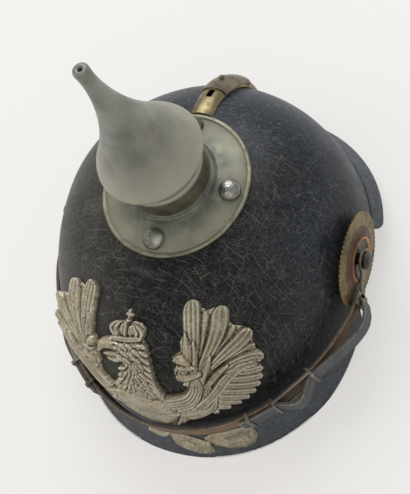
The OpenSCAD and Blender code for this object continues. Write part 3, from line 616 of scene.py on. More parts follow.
profile = raised([(BASE_R, 0), (BASE_R, 1.5), (44.6, 2.0), (43.2, 2.0), (42.4, 1.25)])
profile += [(r, plate_top(r) + 0.02) for r in np.linspace(41.6, 27.4, 16)]
profile += raised([(26.6, 8.6), (26.3, 9.5), (25.5, 10.0), (24.8, 10.0), (24.2, 10.7), (NECK_R, 12.0), (NECK_R, 22.6),
                   (24.6, 23.2), (24.6, 25.0), (21.6, 25.0), (21.6, 6.8)])
profile += [(r, plate_top(r) - 1.2) for r in np.linspace(26, 42.2, 12)]
profile += raised([(44.0, 0.6), (44.0, 0)])
profile = filleted(profile, 0.35, 3)
verts, faces = lathe(profile, 160)
index = []
for face in faces:
    r, h = mean_place(profile, face)
    index.append(1 if r > 42.9 else 2 if r < 24.9 and h > PLATE_Z + 10.4 else 0)
piece("base_plate", (verts, faces), "helmet", [base_steel, rim_brass, neck_metal],
    "spike_base", index, 55)


def spike_radius(h):
    return 4.4 + 26.8 * ((124 - h) / 81) ** 1.92


profile = [(21.55, 15), (21.55, 25.3), (25.4, 25.4), (25.4, 27), (24.6, 28.4), (27.6, 36.6), (29.8, 38.4), (31.1, 40.2),
           (31.2, 41.2), (30.9, 42.2)]
profile += [(spike_radius(h) - (0.25 if h < 45 else 0), h) for h in np.linspace(44, 124, 40)]
profile += [(4.6, 128), (4.6, 130.4), (4.2, 131.2), (3.4, 131.8), (2.3, 132), (1.5, 131.7), (1.1, 131), (1.1, 120)]
profile += [(max(spike_radius(h) - 1.3, 1.1), h) for h in np.linspace(112, 44, 16)]
profile += [(28.8, 40), (20.5, 27.8), (20.5, 15)]
radii = [0.2] * len(profile)
radii[5:10] = [1.5, 2.0, 1.4, 1.0, 0.8]
piece("spike_shell", lathe(filleted(raised(profile), radii), 160), "spike", steel, "spike", sharp=50)
lug_section = raised([(21.2, 15), (22.75, 15), (22.75, 18), (21.2, 18)])
lugs = []
for turn in (0, 180):
    lugs.append(tube([[(r * math.cos(a), r * math.sin(a), z) for r, z in lug_section]
                      for a in np.radians(turn + np.linspace(-5, 5, 7))]))
piece("bayonet_lugs", joined(lugs), "spike", steel, None)

# ---------------------------------------------------------------- studs

TILT = math.atan(BASE_RISE / (BASE_R - NECK_R))


def on_stud(shape, quarter):
    """From a stud's own axes to its place on the base plate."""
    p = np.asarray(shape[0], float)
    c, s = math.cos(TILT), math.sin(TILT)
    q = np.stack([p[:, 0] * c + p[:, 2] * s + STUD_AT, p[:, 1], -p[:, 0] * s + p[:, 2] * c + plate_top(STUD_AT)], 1)
    return turned(q, math.radians(90 * quarter)), shape[1]


profile = [(1.7, 0.2), (5.9, 0.15), (STUD_R, 0.5), (STUD_R, 1.0)]
profile += [(STUD_R * math.cos(u), 1.2 + 3.8 * math.sin(u)) for u in np.radians(np.linspace(8, 82, 12))]
profile += [(0.02, 5.0), (0.02, -10.7), (1.7, -10.7)]
parts = [on_stud(lathe(profile, 48), i) for i in range(4)]
# The split pins' bent legs
parts += [on_stud(box((side * -0.2, side * 6.2), (-1.2, 1.2), (-10.6, -9.9)), i) for i in range(4) for side in (-1, 1)]
piece("domed_studs", joined(parts), "helmet", stud_steel, "base_studs", sharp=50)

# ---------------------------------------------------------------- rear spine and slide

def at_bend(x, r, degrees, down=0.0):
    """Points r from the bend's centre, at an angle over the rear horizontal and down the straight run."""
    c, s = math.cos(math.radians(degrees)), math.sin(math.radians(degrees))
    return np.stack([x, SPINE_Y + r * c + down * s, SPINE_Z + r * s - down * c], -1)


def arch(half, radius, rise, foot):
    """Section over the spine as places across and radii, from the left foot over the crown."""
    u = np.radians(np.linspace(-90, 90, 13))
    return (np.concatenate([[-half], half * np.sin(u), [half]]),
            np.concatenate([[foot], radius - rise + rise * np.cos(u), [foot]]))


def skull_radius(x, degrees):
    """Distance from the bend's centre to the skull at a place across the spine."""
    low, high = 30.0, 60.0
    for _ in range(40):
        mid = (low + high) / 2
        x, y, z = at_bend(x, mid, degrees)
        inside = math.hypot(x / SKULL_X, y / SKULL_REAR) ** 3 + (max(z, 0) / SKULL_H) ** 3 < 1
        low, high = (mid, high) if inside else (low, mid)
    return low


def arched(stations, layers, foot):
    """Outer and inner grid of an arched sheet through (angle, way down) stations."""
    return [np.array([at_bend(*arch(half, radius, rise, foot(half, radius - rise, a)), a, down)
                      for a, down in stations]) for half, radius, rise in layers]


stations = [(a, 0.0) for a in np.linspace(85.3, 4, 110)] + [(4, down) for down in np.linspace(2.5, 38.4, 16)]
# The channel's side walls follow the leather underneath
outer, inner = arched(stations, ((7.2, SPINE_R, 3.8), (6.2, SPINE_R - 1, 3.4)),
                      lambda half, shoulder, a: min(skull_radius(half, a) + 0.25, shoulder - 0.3))
# The vent hole is left open between these stations and columns
hole_rows = [i for i in range(len(stations) - 1) if 62.2 <= (stations[i][0] + stations[i + 1][0]) / 2 <= 70.7]
across = outer[0][:, 0]
hole_cols = [j for j in range(len(across) - 1) if abs((across[j] + across[j + 1]) / 2) < 2.6]
hole = (hole_rows[0], hole_rows[-1] + 1, hole_cols[0], hole_cols[-1] + 1)
piece("spine_channel", sheet(outer, inner, hole), "helmet", spine_brass, "rear_spine", sharp=40,
      bevel=(0.28, 2, 50))
foot = [(90.5, 2.2), (100.4, -17.0), (100.9, -16.6), (101.0, -15.9), (92.0, 6.0), (90.8, 6.4)]
piece("spine_foot", tube([[(x, y, z) for y, z in foot] for x in np.linspace(-7.2, 7.2, 5)]),
    "helmet", spine_brass, None, bevel=(0.5, 3, 30))
outer, inner = arched([(a, 0.0) for a in np.linspace(61.7, 19.7, 70)], ((8.1, 49.9, 3.9), (7.3, 49.1, 3.8)),
                      lambda half, shoulder, a: 44.85)
piece("slide_shell", sheet(outer, inner), "slide", slide_bronze, "vent_slide", sharp=40,
      bevel=(0.3, 2, 50))
profile = [(0.01, 0), (1.9, 0), (1.9, 0.4), (1.3, 0.6), (1.25, 0.9)]
profile += [(1.7 * math.cos(u), 1.5 + 0.9 * math.sin(u)) for u in np.radians(np.linspace(-35, 85, 9))] + [(0.01, 2.4)]
v, f = lathe(profile, 32)
piece("slide_knob", (at_bend(v[:, 0], 49.7 + v[:, 2], 47.7, -v[:, 1]), f), "slide", slide_bronze, None,
      sharp=40)

# ---------------------------------------------------------------- posts, cockade and lugs

def on_post(shape, side=1):
    """From a lathe's own axes to the side post's axis, which points outwards."""
    p = np.asarray(shape[0], float)
    return np.stack([side * p[:, 2], POST_Y + side * p[:, 0], POST_Z + p[:, 1]], 1), shape[1]


for side, less, word in SIDES:
    flange = filleted([(3.2, 93.9), (8.5, 93.9), (8.5, 95.3), (3.2, 95.3)], 0.35, 3)
    shank = [(0.02, 85.0), (3.2, 85.0)] + [(r, 101.1 - less + h) for r, h in (
        (3.2, 0), (4.6, 0), (5.4, 0.5), (5.45, 1.3), (4.9, 2.1), (3.9, 2.5), (3.4, 3.2), (2.0, 3.5), (0.02, 3.6))]
    parts = [lathe(flange, 64), lathe(filleted(shank, 0.35, 3), 64)]
    piece(f"post_{word}_turned", on_post(joined(parts), side), "helmet", post_metal, f"post_{word}",
        sharp=45)

COCKADE_R, TOOTH_ROOT, TEETH = 28.0, 24.5, 60
profile = [(3.25, 0.0), (27.6, 0.0), (COCKADE_R, 0.25), (COCKADE_R, 0.75), (27.5, 0.95), (25.6, 0.9), (25.0, 0.72),
           (24.4, 0.9), (21.2, 1.0), (20.4, 1.1), (19.6, 1.35), (17.2, 1.45), (16.2, 1.6), (15.2, 2.0), (14.2, 2.9),
           (13.3, 3.32), (12.6, 3.35), (11.8, 2.95), (11.0, 2.0), (10.2, 1.55), (9.2, 1.3), (6.0, 1.25), (3.25, 1.35)]
profile = filleted(profile, 0.25, 2)


def toothed(r, t):
    wave = abs(((t / (2 * math.pi) * TEETH) % 1) * 2 - 1)
    return r - max(r - TOOTH_ROOT, 0) / (COCKADE_R - TOOTH_ROOT) * 1.25 * wave ** 1.3


verts, faces = lathe(profile, 480, toothed)
index = []
for face in faces:
    r, h = mean_place(profile, face)
    # Between r 12 and 13.4 lies the ring's crest, copper with a painted highlight
    index.append(0 if r > 19.9 or h < 0.3 else 2 if r > 13.4 else 1 if r > 12.0 else 3)
piece("cockade_disc", on_post((verts + (0, 0, 95.6), faces)), "cockade",
      [cockade_brass, cockade_copper_and_highlight, cockade_brown, post_metal], "cockade", index, 40)

# The strap's plane slopes down to the front
STRAP_MID_Y = -SKULL_FRONT - STRAP_OFF
SLOPE = math.atan((BAR_Z - STRAP_Z) / (BAR_Y - STRAP_MID_Y))
BAR_T = math.asin(BAR_Y / STRAP_MID_Y)
BAR_DEG = math.degrees(BAR_T)
BAR_X = (SKULL_X + STRAP_OFF) * math.cos(BAR_T) + STRAP_T + STRAP_GAP + BAR_R


def in_strap(points):
    """From the strap's plane, where z = 0 is its middle, to helmet coordinates."""
    p = np.asarray(points, float)
    c, s = math.cos(SLOPE), math.sin(SLOPE)
    y, z = p[:, 1] - STRAP_MID_Y, p[:, 2]
    return np.stack([p[:, 0], STRAP_MID_Y + y * c - z * s, STRAP_Z + y * s + z * c], 1)


def strap_point(degrees, off):
    t = math.radians(degrees)
    return np.array([(SKULL_X + off) * math.cos(t), -(SKULL_FRONT + off) * math.sin(t)])


def ray(a):
    return np.array([math.cos(a), math.sin(a)])


def lug_arm(x, thick, end):
    """Flat eye round the post with an arm to the given end, as (verts, faces)."""
    aim = end / np.linalg.norm(end)
    way, reach = math.atan2(end[1], end[0]), math.hypot(*end) + 1
    across = np.array([-aim[1], aim[0]])
    outline = [7.0 * ray(way + a) for a in np.radians(np.linspace(32, 328, 44))]
    outline += [aim * 9.5 - across * 3.0, aim * reach - across * 3.4, aim * reach + across * 3.4,
        aim * 9.5 + across * 3.0]
    bm = bmesh.new()
    edges = []
    for pts in (outline, [3.26 * ray(way + a) for a in round_way(40)]):
        ring = [bm.verts.new((0, p[0], p[1])) for p in pts]
        edges += [bm.edges.new((ring[i], ring[(i + 1) % len(pts)])) for i in range(len(pts))]
    bmesh.ops.triangle_fill(bm, edges=edges, use_beauty=True)
    filled = [f for f in bm.faces if np.hypot(*f.calc_center_median()[1:]) < 3.0]
    bmesh.ops.delete(bm, geom=filled, context="FACES_ONLY")
    for item in bmesh.ops.extrude_face_region(bm, geom=list(bm.faces))["geom"]:
        if isinstance(item, bmesh.types.BMVert):
            item.co.x += thick
    bm.verts.index_update()
    verts = np.array([v.co[:] for v in bm.verts]) + (x, POST_Y, POST_Z)
    faces = [tuple(v.index for v in f.verts) for f in bm.faces]
    bm.free()
    return verts, faces


LUG_X, LUG_T, FRAME_Y, ABOVE = 99.4, 1.4, -22.8, STRAP_HALF + STRAP_GAP
for side, less, word in SIDES:
    x = (LUG_X - less, LUG_X - less + LUG_T)
    # The frame at the arm's end lies in the strap's plane
    frame_parts = [box(x, (FRAME_Y, FRAME_Y + 2.4), (-ABOVE - 1.8, ABOVE + 1.8)),
                   box(x, (BAR_Y - BAR_R, FRAME_Y + 1), (-ABOVE - 1.8, -ABOVE)),
                   box(x, (BAR_Y - BAR_R, FRAME_Y + 1), (ABOVE, ABOVE + 1.8)),
                   tube([[(BAR_X - less + BAR_R * math.cos(a), BAR_Y + BAR_R * math.sin(a), z) for a in round_way(20)]
                         for z in (-STRAP_HALF - 2, STRAP_HALF + 2)])]
    arm = lug_arm(x[0], LUG_T, np.array([FRAME_Y - POST_Y, BAR_Z - POST_Z]))
    v, f = joined([arm] + [(in_strap(v), f) for v, f in frame_parts])
    piece(f"lug_{word}_forged", (v * (side, 1, 1), f), "helmet", lug_metal, f"lug_{word}", sharp=40,
          bevel=(0.3, 2, 40))

# ---------------------------------------------------------------- chinstrap

BUCKLE_FROM, BUCKLE_TO, KEEPER, STRAP_END = 36.0, 50.0, 59.0, 62.0  # degrees from the left towards the front


def near_off(t, less):
    """How far the inner strand lies off the skull's outline."""
    return STRAP_OFF + (min(t - BAR_DEG, 3) / 3 - less) * max(0, 1 - (t - BAR_DEG) / (BUCKLE_FROM - BAR_DEG))


def far_off(t, less):
    """The same for the outer strand, which stands clear between the bar and the buckle and bulges in the buckle."""
    beside = STRAP_OFF + STRAP_T + STRAP_GAP
    start = (BAR_X - less + BAR_R + STRAP_GAP) / math.cos(BAR_T) - SKULL_X
    if t < BUCKLE_FROM:
        u = (t - BAR_DEG) / (BUCKLE_FROM - BAR_DEG)
        return start + (beside - start) * u + (6.5 - 1.4 * less) * math.sin(math.pi * u ** 0.6) * (1 - u) ** 0.8
    if t < BUCKLE_TO:
        return beside + (7 - 1.7 * less) * math.sin(math.pi * (t - BUCKLE_FROM) / (BUCKLE_TO - BUCKLE_FROM)) ** 2
    return beside


def strap_half(less):
    """Middle line of one half of the strap, from the front centre round the bar to the outer strand's end."""
    mid = STRAP_T / 2
    pts = [strap_point(t, near_off(t, less) + mid) for t in (*np.arange(90, 15, -1.0), BAR_DEG + 1.0)]
    pts += [(BAR_X - less, BAR_Y) + (BAR_R + STRAP_GAP + mid) * ray(math.radians(u)) for u in range(165, 10, -15)]
    pts += [strap_point(t, far_off(t, less) + mid) for t in (BAR_DEG + 1.0, *np.arange(16, STRAP_END + 0.01, 1.0))]
    return np.array(pts)


line = np.vstack([strap_half(0)[::-1], (strap_half(BARE) * (-1, 1))[1:]])
# Even steps along the line
d = np.concatenate([[0], np.cumsum(np.linalg.norm(np.diff(line, axis=0), axis=1))])
length = d[-1]
steps = int(length / 1.6)
even = np.linspace(0, length, steps)
line = np.stack([np.interp(even, d, line[:, 0]), np.interp(even, d, line[:, 1])], 1)
tangent = np.gradient(line, axis=0)
tangent /= np.linalg.norm(tangent, axis=1)[:, None]
normal = np.stack([tangent[:, 1], -tangent[:, 0]], 1)
# Section as (out, up), with grooves beside both edges on both faces
SEAM = 4.9
section = []
for face in (1, -1):
    for b in face * np.array([-5.9, -5.3, -SEAM, -4.5, -3.6, 0, 3.6, 4.5, SEAM, 5.3, 5.9]):
        groove = 0.3 if abs(abs(b) - SEAM) < 0.01 else 0.0
        section.append((face * (1.0 - groove + 0.16 * (1 - (b / STRAP_HALF) ** 2)), b))
    section += [(face * 0.75, face * 6.4), (face * 0.25, face * STRAP_HALF),
                (-face * 0.25, face * STRAP_HALF), (-face * 0.75, face * 6.4)]
a, b = np.array(section).T
# The strap curls and waves a little
wobble = np.interp(even, np.linspace(0, even[-1], 42), np.random.default_rng(7).uniform(-1, 1, 42))[:, None]
out = a * 0.98 + wobble * 0.12 * (b / STRAP_HALF)
up = b * (1 - 0.012 * np.abs(wobble))
rows = np.concatenate([line[:, None] + normal[:, None] * out[..., None], up[..., None]], 2)
verts, faces = tube(rows)
# The inner strand is tan, the strands folded back are grey
first = np.argmin(np.linalg.norm(line - (BAR_X + 2.7, BAR_Y), axis=1)) + 6
last = np.argmin(np.linalg.norm(line - (-(BAR_X - BARE + 2.7), BAR_Y), axis=1)) - 6
index = []
for face in faces:
    up = np.mean([abs(verts[q][2]) for q in face])
    index.append(2 if up > 6.2 else 1 if first < np.mean([q // len(section) for q in face]) < last else 0)
piece("strap_leather", (in_strap(verts), faces), "strap", [strap_outer, strap_inner, strap_edge], "chinstrap",
      index, 60)

stitches = []
for row in (-SEAM, SEAM):
    for face in (1, -1):
        for s in np.arange(4, length - 4, 3.1):
            i = int(s / length * (steps - 1))
            c, t, out = line[i], tangent[i], normal[i] * face
            pts = [(*(c + t * 0.95 * math.cos(a) + out * 1.14), row + 0.26 * math.sin(a)) for a in round_way(8)]
            pts += [(*(c + out * 1.26), row), (*(c + out * 0.8), row)]
            stitches.append((pts, [(k, (k + 1) % 8, 8) for k in range(8)] + [((k + 1) % 8, k, 9) for k in range(8)]))
v, f = joined(stitches)
piece("strap_stitches", (in_strap(v), f), "strap", thread, None, sharp=80)


def rectangle(x0, x1, y, radius, steps):
    return filleted([(x0, -y), (x1, -y), (x1, y), (x0, y)], radius, steps)


def band(t, wide, side, gap=0.3, wall=0.6, deep=4.8, over=0.4):
    """A metal loop round both strands."""
    p = strap_point(t, STRAP_OFF)
    half = STRAP_HALF + gap
    outer = rectangle(-gap - wall, deep + gap + wall, half + over, 1.0, 4)
    inner = rectangle(-gap, deep + gap, half, 0.6, 4)
    rows = [[(r, w, z) for r, z in ring] for ring, w in ((outer, -wide / 2), (outer, wide / 2), (inner, wide / 2),
                                                         (inner, -wide / 2))]
    aim = math.atan2(p[1] / STRAP_MID_Y ** 2, p[0] / (SKULL_X + STRAP_OFF) ** 2)
    v = turned(np.array(rows).reshape(-1, 3), aim) + (p[0], p[1], 0)
    return v * (side, 1, 1), grid_faces(4, len(outer), True, True)


RAIL_Z = 7.35
for side, less, word in SIDES:
    parts = [band(BUCKLE_FROM, 1.9, side, 0.7), band(BUCKLE_TO, 1.9, side, 0.7)]
    p, q = (strap_point(t, STRAP_OFF + STRAP_T) for t in (BUCKLE_FROM, BUCKLE_TO))
    way = (q - p) / np.linalg.norm(q - p)
    out = np.array([-way[1], way[0]])
    for z in (-RAIL_Z, RAIL_Z):
        v, f = tube([[(*(p + (q - p) * k / 8 + out * a), z + b) for a, b in rectangle(-1.0, 1.4, 0.55, 0.4, 3)]
                     for k in range(9)])
        parts.append((v * (side, 1, 1), f))
    v, f = joined(parts)
    piece(f"buckle_{word}_frame", (in_strap(v), f), "strap", buckle_metal, f"buckle_{word}", sharp=50)
v, f = joined([band(KEEPER, 2.2, 1), band(KEEPER, 2.2, -1)])
piece("keeper_loops", (in_strap(v), f), "strap", buckle_metal, "strap_keepers", sharp=50)

# ---------------------------------------------------------------- front plate: a struck relief

class Relief:
    """Heights over a flat drawing, from overlapping feathers and shapes, in millimetres."""

    def __init__(self, low, high, step):
        self.u = np.arange(low[0], high[0] + step / 2, step)
        self.v = np.arange(low[1], high[1] + step / 2, step)
        self.U, self.V = np.meshgrid(self.u, self.v, indexing="ij")
        self.H = np.zeros_like(self.U)
        self.F = np.full_like(self.U, -50.0)

    def near(self, points, margin):
        """Which cells lie near the points, and their places."""
        lo, hi = np.min(points, 0) - margin, np.max(points, 0) + margin
        near = (self.U > lo[0]) & (self.U < hi[0]) & (self.V > lo[1]) & (self.V < hi[1])
        return near, self.U[near], self.V[near]

    def along(self, points, margin=14.0):
        """Nearest place on a polyline: cells near it, length along it, distance to it, side and whole length."""
        p = np.asarray(points, float)
        near, u, v = self.near(p, margin)
        best = np.full(u.shape, 1e9)
        s, side = np.zeros_like(u), np.zeros_like(u)
        gone = 0.0
        for a, b in zip(p[:-1], p[1:]):
            d = b - a
            length = math.hypot(*d)
            if length < 1e-9:
                continue
            t = np.clip(((u - a[0]) * d[0] + (v - a[1]) * d[1]) / length ** 2, 0, 1)
            du, dv = u - a[0] - t * d[0], v - a[1] - t * d[1]
            dist = np.hypot(du, dv)
            closer = dist < best
            best = np.where(closer, dist, best)
            s = np.where(closer, gone + t * length, s)
            side = np.where(closer, np.sign(d[0] * dv - d[1] * du), side)
            gone += length
        return near, s, best, side, gone

    def strip(self, points, widths, tip):
        """As along, with the half width there: widths at even steps, rounded off over the tip's share."""
        near, s, dist, side, length = self.along(curve(points, 8))
        w = np.interp(s / length, np.linspace(0, 1, len(widths)), widths)
        start = length * (1 - tip)
        w = w * np.sqrt(np.clip(1 - (np.clip(s - start, 0, None) / (length - start)) ** 2.4, 0, 1))
        return near, s, dist, side, length, w

    def lay(self, near, field, height, groove=0.5, reach=0.9):
        """Lays a shape over what is there, with a furrow round it."""
        h, f = self.H[near], self.F[near]
        ring = np.clip(1 + field / reach, 0, 1) * (field <= 0)
        self.H[near] = np.where(field > 0, height, h - groove * ring * (f > 0))
        self.F[near] = np.maximum(f, field)

    def feather(self, points, widths, low, high, barb, lean, rib, cut, tip, groove):
        """A feather along a smooth line. widths are half widths; low is its edge's height, high its crown's."""
        near, s, dist, _, length, w = self.strip(points, widths, tip)
        t = np.clip(dist / np.maximum(w, 0.05), 0, 1)
        h = low + (high - low) * np.clip(1 - t ** 2.2, 0, 1) ** 0.35
        h = h + rib * np.exp(-(dist / 0.45) ** 2) * np.clip((length - s) / 4, 0, 1)
        phase = (s - lean * dist) / barb * 2 * math.pi
        h = h - cut * (0.5 + 0.5 * np.cos(phase)) * np.clip((dist - 0.4) / 0.6, 0, 1) * np.clip((w - dist) / 0.8, 0, 1)
        self.lay(near, w - dist, h, groove)

    def ridges(self, points, widths, low, high, lines, cut=0.45, tip=0.3, groove=0.8):
        """A band with even ridges along it."""
        near, _, dist, side, _, w = self.strip(points, widths, tip)
        across = side * dist / np.maximum(w, 0.05)
        h = low + (high - low) * np.clip(1 - np.abs(across) ** 3, 0, 1) ** 0.4
        h = h - cut * (0.5 + 0.5 * np.cos(across * math.pi * lines + math.pi * (lines % 2)))
        self.lay(near, w - dist, h, groove)

    def blob(self, centre, rx, ry, turn, low, high, power=0.5, groove=0.5):
        a = math.radians(turn)
        near, u, v = self.near([centre], max(rx, ry) + 3)
        u, v = u - centre[0], v - centre[1]
        q = np.hypot((u * math.cos(a) + v * math.sin(a)) / rx, (-u * math.sin(a) + v * math.cos(a)) / ry)
        self.lay(near, (1 - q) * min(rx, ry), low + (high - low) * np.clip(1 - q * q, 0, 1) ** power, groove)

    def shape(self, points, low, high, edge=2.5, detail=None, groove=0.5):
        """A closed outline whose height rises from its edge inwards."""
        p = np.asarray(points, float)
        near, u, v = self.near(p, 4)
        best = np.full(u.shape, 1e9)
        inside = np.zeros(u.shape, bool)
        for i in range(len(p)):
            a, b = p[i - 1], p[i]
            d = b - a
            t = np.clip(((u - a[0]) * d[0] + (v - a[1]) * d[1]) / (d @ d), 0, 1)
            best = np.minimum(best, np.hypot(u - a[0] - t * d[0], v - a[1] - t * d[1]))
            inside ^= ((a[1] > v) != (b[1] > v)) & (u < (b[0] - a[0]) * (v - a[1]) / (b[1] - a[1] + 1e-12) + a[0])
        field = np.where(inside, best, -best)
        h = low + (high - low) * np.sin(np.clip(field / edge, 0, 1) * math.pi / 2)
        self.lay(near, field, h + detail(u, v, field) if detail else h, groove)

    def line(self, points, half, depth):
        """A raised, or with a negative depth a cut, line on what is there."""
        near, s, dist, _, length = self.along(curve(points, 8), 4)
        ends = np.clip(np.minimum(s, length - s) / half / 2, 0, 1)
        self.H[near] += depth * np.exp(-(dist / half) ** 2) * (self.F[near] > 0) * ends

    def mesh(self, place, gap=0.12, least=0.5):
        """Top face, cut cleanly along the outline, with a side wall. place(u, v, h) gives points."""
        F, H = self.F, np.maximum(self.H, least)
        ids, uv, hs = {}, [], []

        def corner(i, j):
            if (i, j) not in ids:
                ids[i, j] = len(uv)
                uv.append((self.u[i], self.v[j]))
                hs.append(H[i, j])
            return ids[i, j]

        def crossing(a, b):
            key = (min(a, b), max(a, b))
            if key not in ids:
                (i, j), (k, l) = key
                t = min(max(F[i, j] / (F[i, j] - F[k, l]), 0.02), 0.98)
                ids[key] = len(uv)
                uv.append((self.u[i] + (self.u[k] - self.u[i]) * t, self.v[j] + (self.v[l] - self.v[j]) * t))
                hs.append(H[i, j] if F[i, j] > 0 else H[k, l])
            return ids[key]

        faces = []
        inside = F > 0
        count = inside[:-1, :-1].astype(int) + inside[1:, :-1] + inside[:-1, 1:] + inside[1:, 1:]
        for i, j in zip(*np.nonzero(count)):
            ring = [(i, j), (i + 1, j), (i + 1, j + 1), (i, j + 1)]
            poly = []
            for a, b in zip(ring, ring[1:] + ring[:1]):
                if inside[a]:
                    poly.append(corner(*a))
                if inside[a] != inside[b]:
                    poly.append(crossing(a, b))
            if len(poly) > 2:
                faces.append(tuple(poly))
        uv, hs = np.array(uv), np.array(hs)
        edges = {}
        for f in faces:
            for a, b in zip(f, f[1:] + f[:1]):
                if edges.pop((b, a), None) is None:
                    edges[(a, b)] = True
        rim = sorted({k for e in edges for k in e})
        hs[rim] = np.minimum(hs[rim], np.maximum(hs[rim] - 0.35, least))
        low = {k: len(uv) + i for i, k in enumerate(rim)}
        faces += [(b, a, low[a], low[b]) for a, b in edges]
        return np.vstack([place(uv[:, 0], uv[:, 1], hs), place(uv[rim, 0], uv[rim, 1], np.full(len(rim), gap))]), faces


def lifted(points, slopes, h):
    """Points moved out along the normals, which are given as three slopes."""
    n = np.stack(slopes, 1)
    return np.stack(points, 1) + n / np.linalg.norm(n, axis=1)[:, None] * np.asarray(h)[:, None]


TIP = math.radians(25)  # slope of the plate's drawing
OFF_FROM, OFF_OVER, OFF_MOST = 42, 22, 3.4  # the wings' tips stand off the leather from that far out


def on_skull(u, v, h):
    """Point of the skull's front half that the plate's drawing shows at (u, v), lifted by h."""
    u, v = np.asarray(u, float), np.asarray(v, float)

    def front(z):
        share = np.clip(1 - (np.clip(z, 0, SKULL_H) / SKULL_H) ** 3, 0, 1) ** (1 / 3)
        return -SKULL_FRONT * np.sqrt(np.clip(share ** 2 - (u / SKULL_X) ** 2, 0, None))

    low, high = np.full_like(u, -30.0), np.full_like(u, 89.0)
    for _ in range(36):
        mid = (low + high) / 2
        below = front(mid) * math.sin(TIP) + mid * math.cos(TIP) < v
        low, high = np.where(below, mid, low), np.where(below, high, mid)
    z = (low + high) / 2
    y = front(z)
    q = np.sqrt((u / SKULL_X) ** 2 + (y / SKULL_FRONT) ** 2)
    h = np.asarray(h) + OFF_MOST * np.clip((np.abs(u) - OFF_FROM) / OFF_OVER, 0, 1) ** 1.5
    return lifted([u, y, z], [q * u / SKULL_X ** 2, q * y / SKULL_FRONT ** 2, np.clip(z, 0, None) ** 2 / SKULL_H ** 3],
        h)


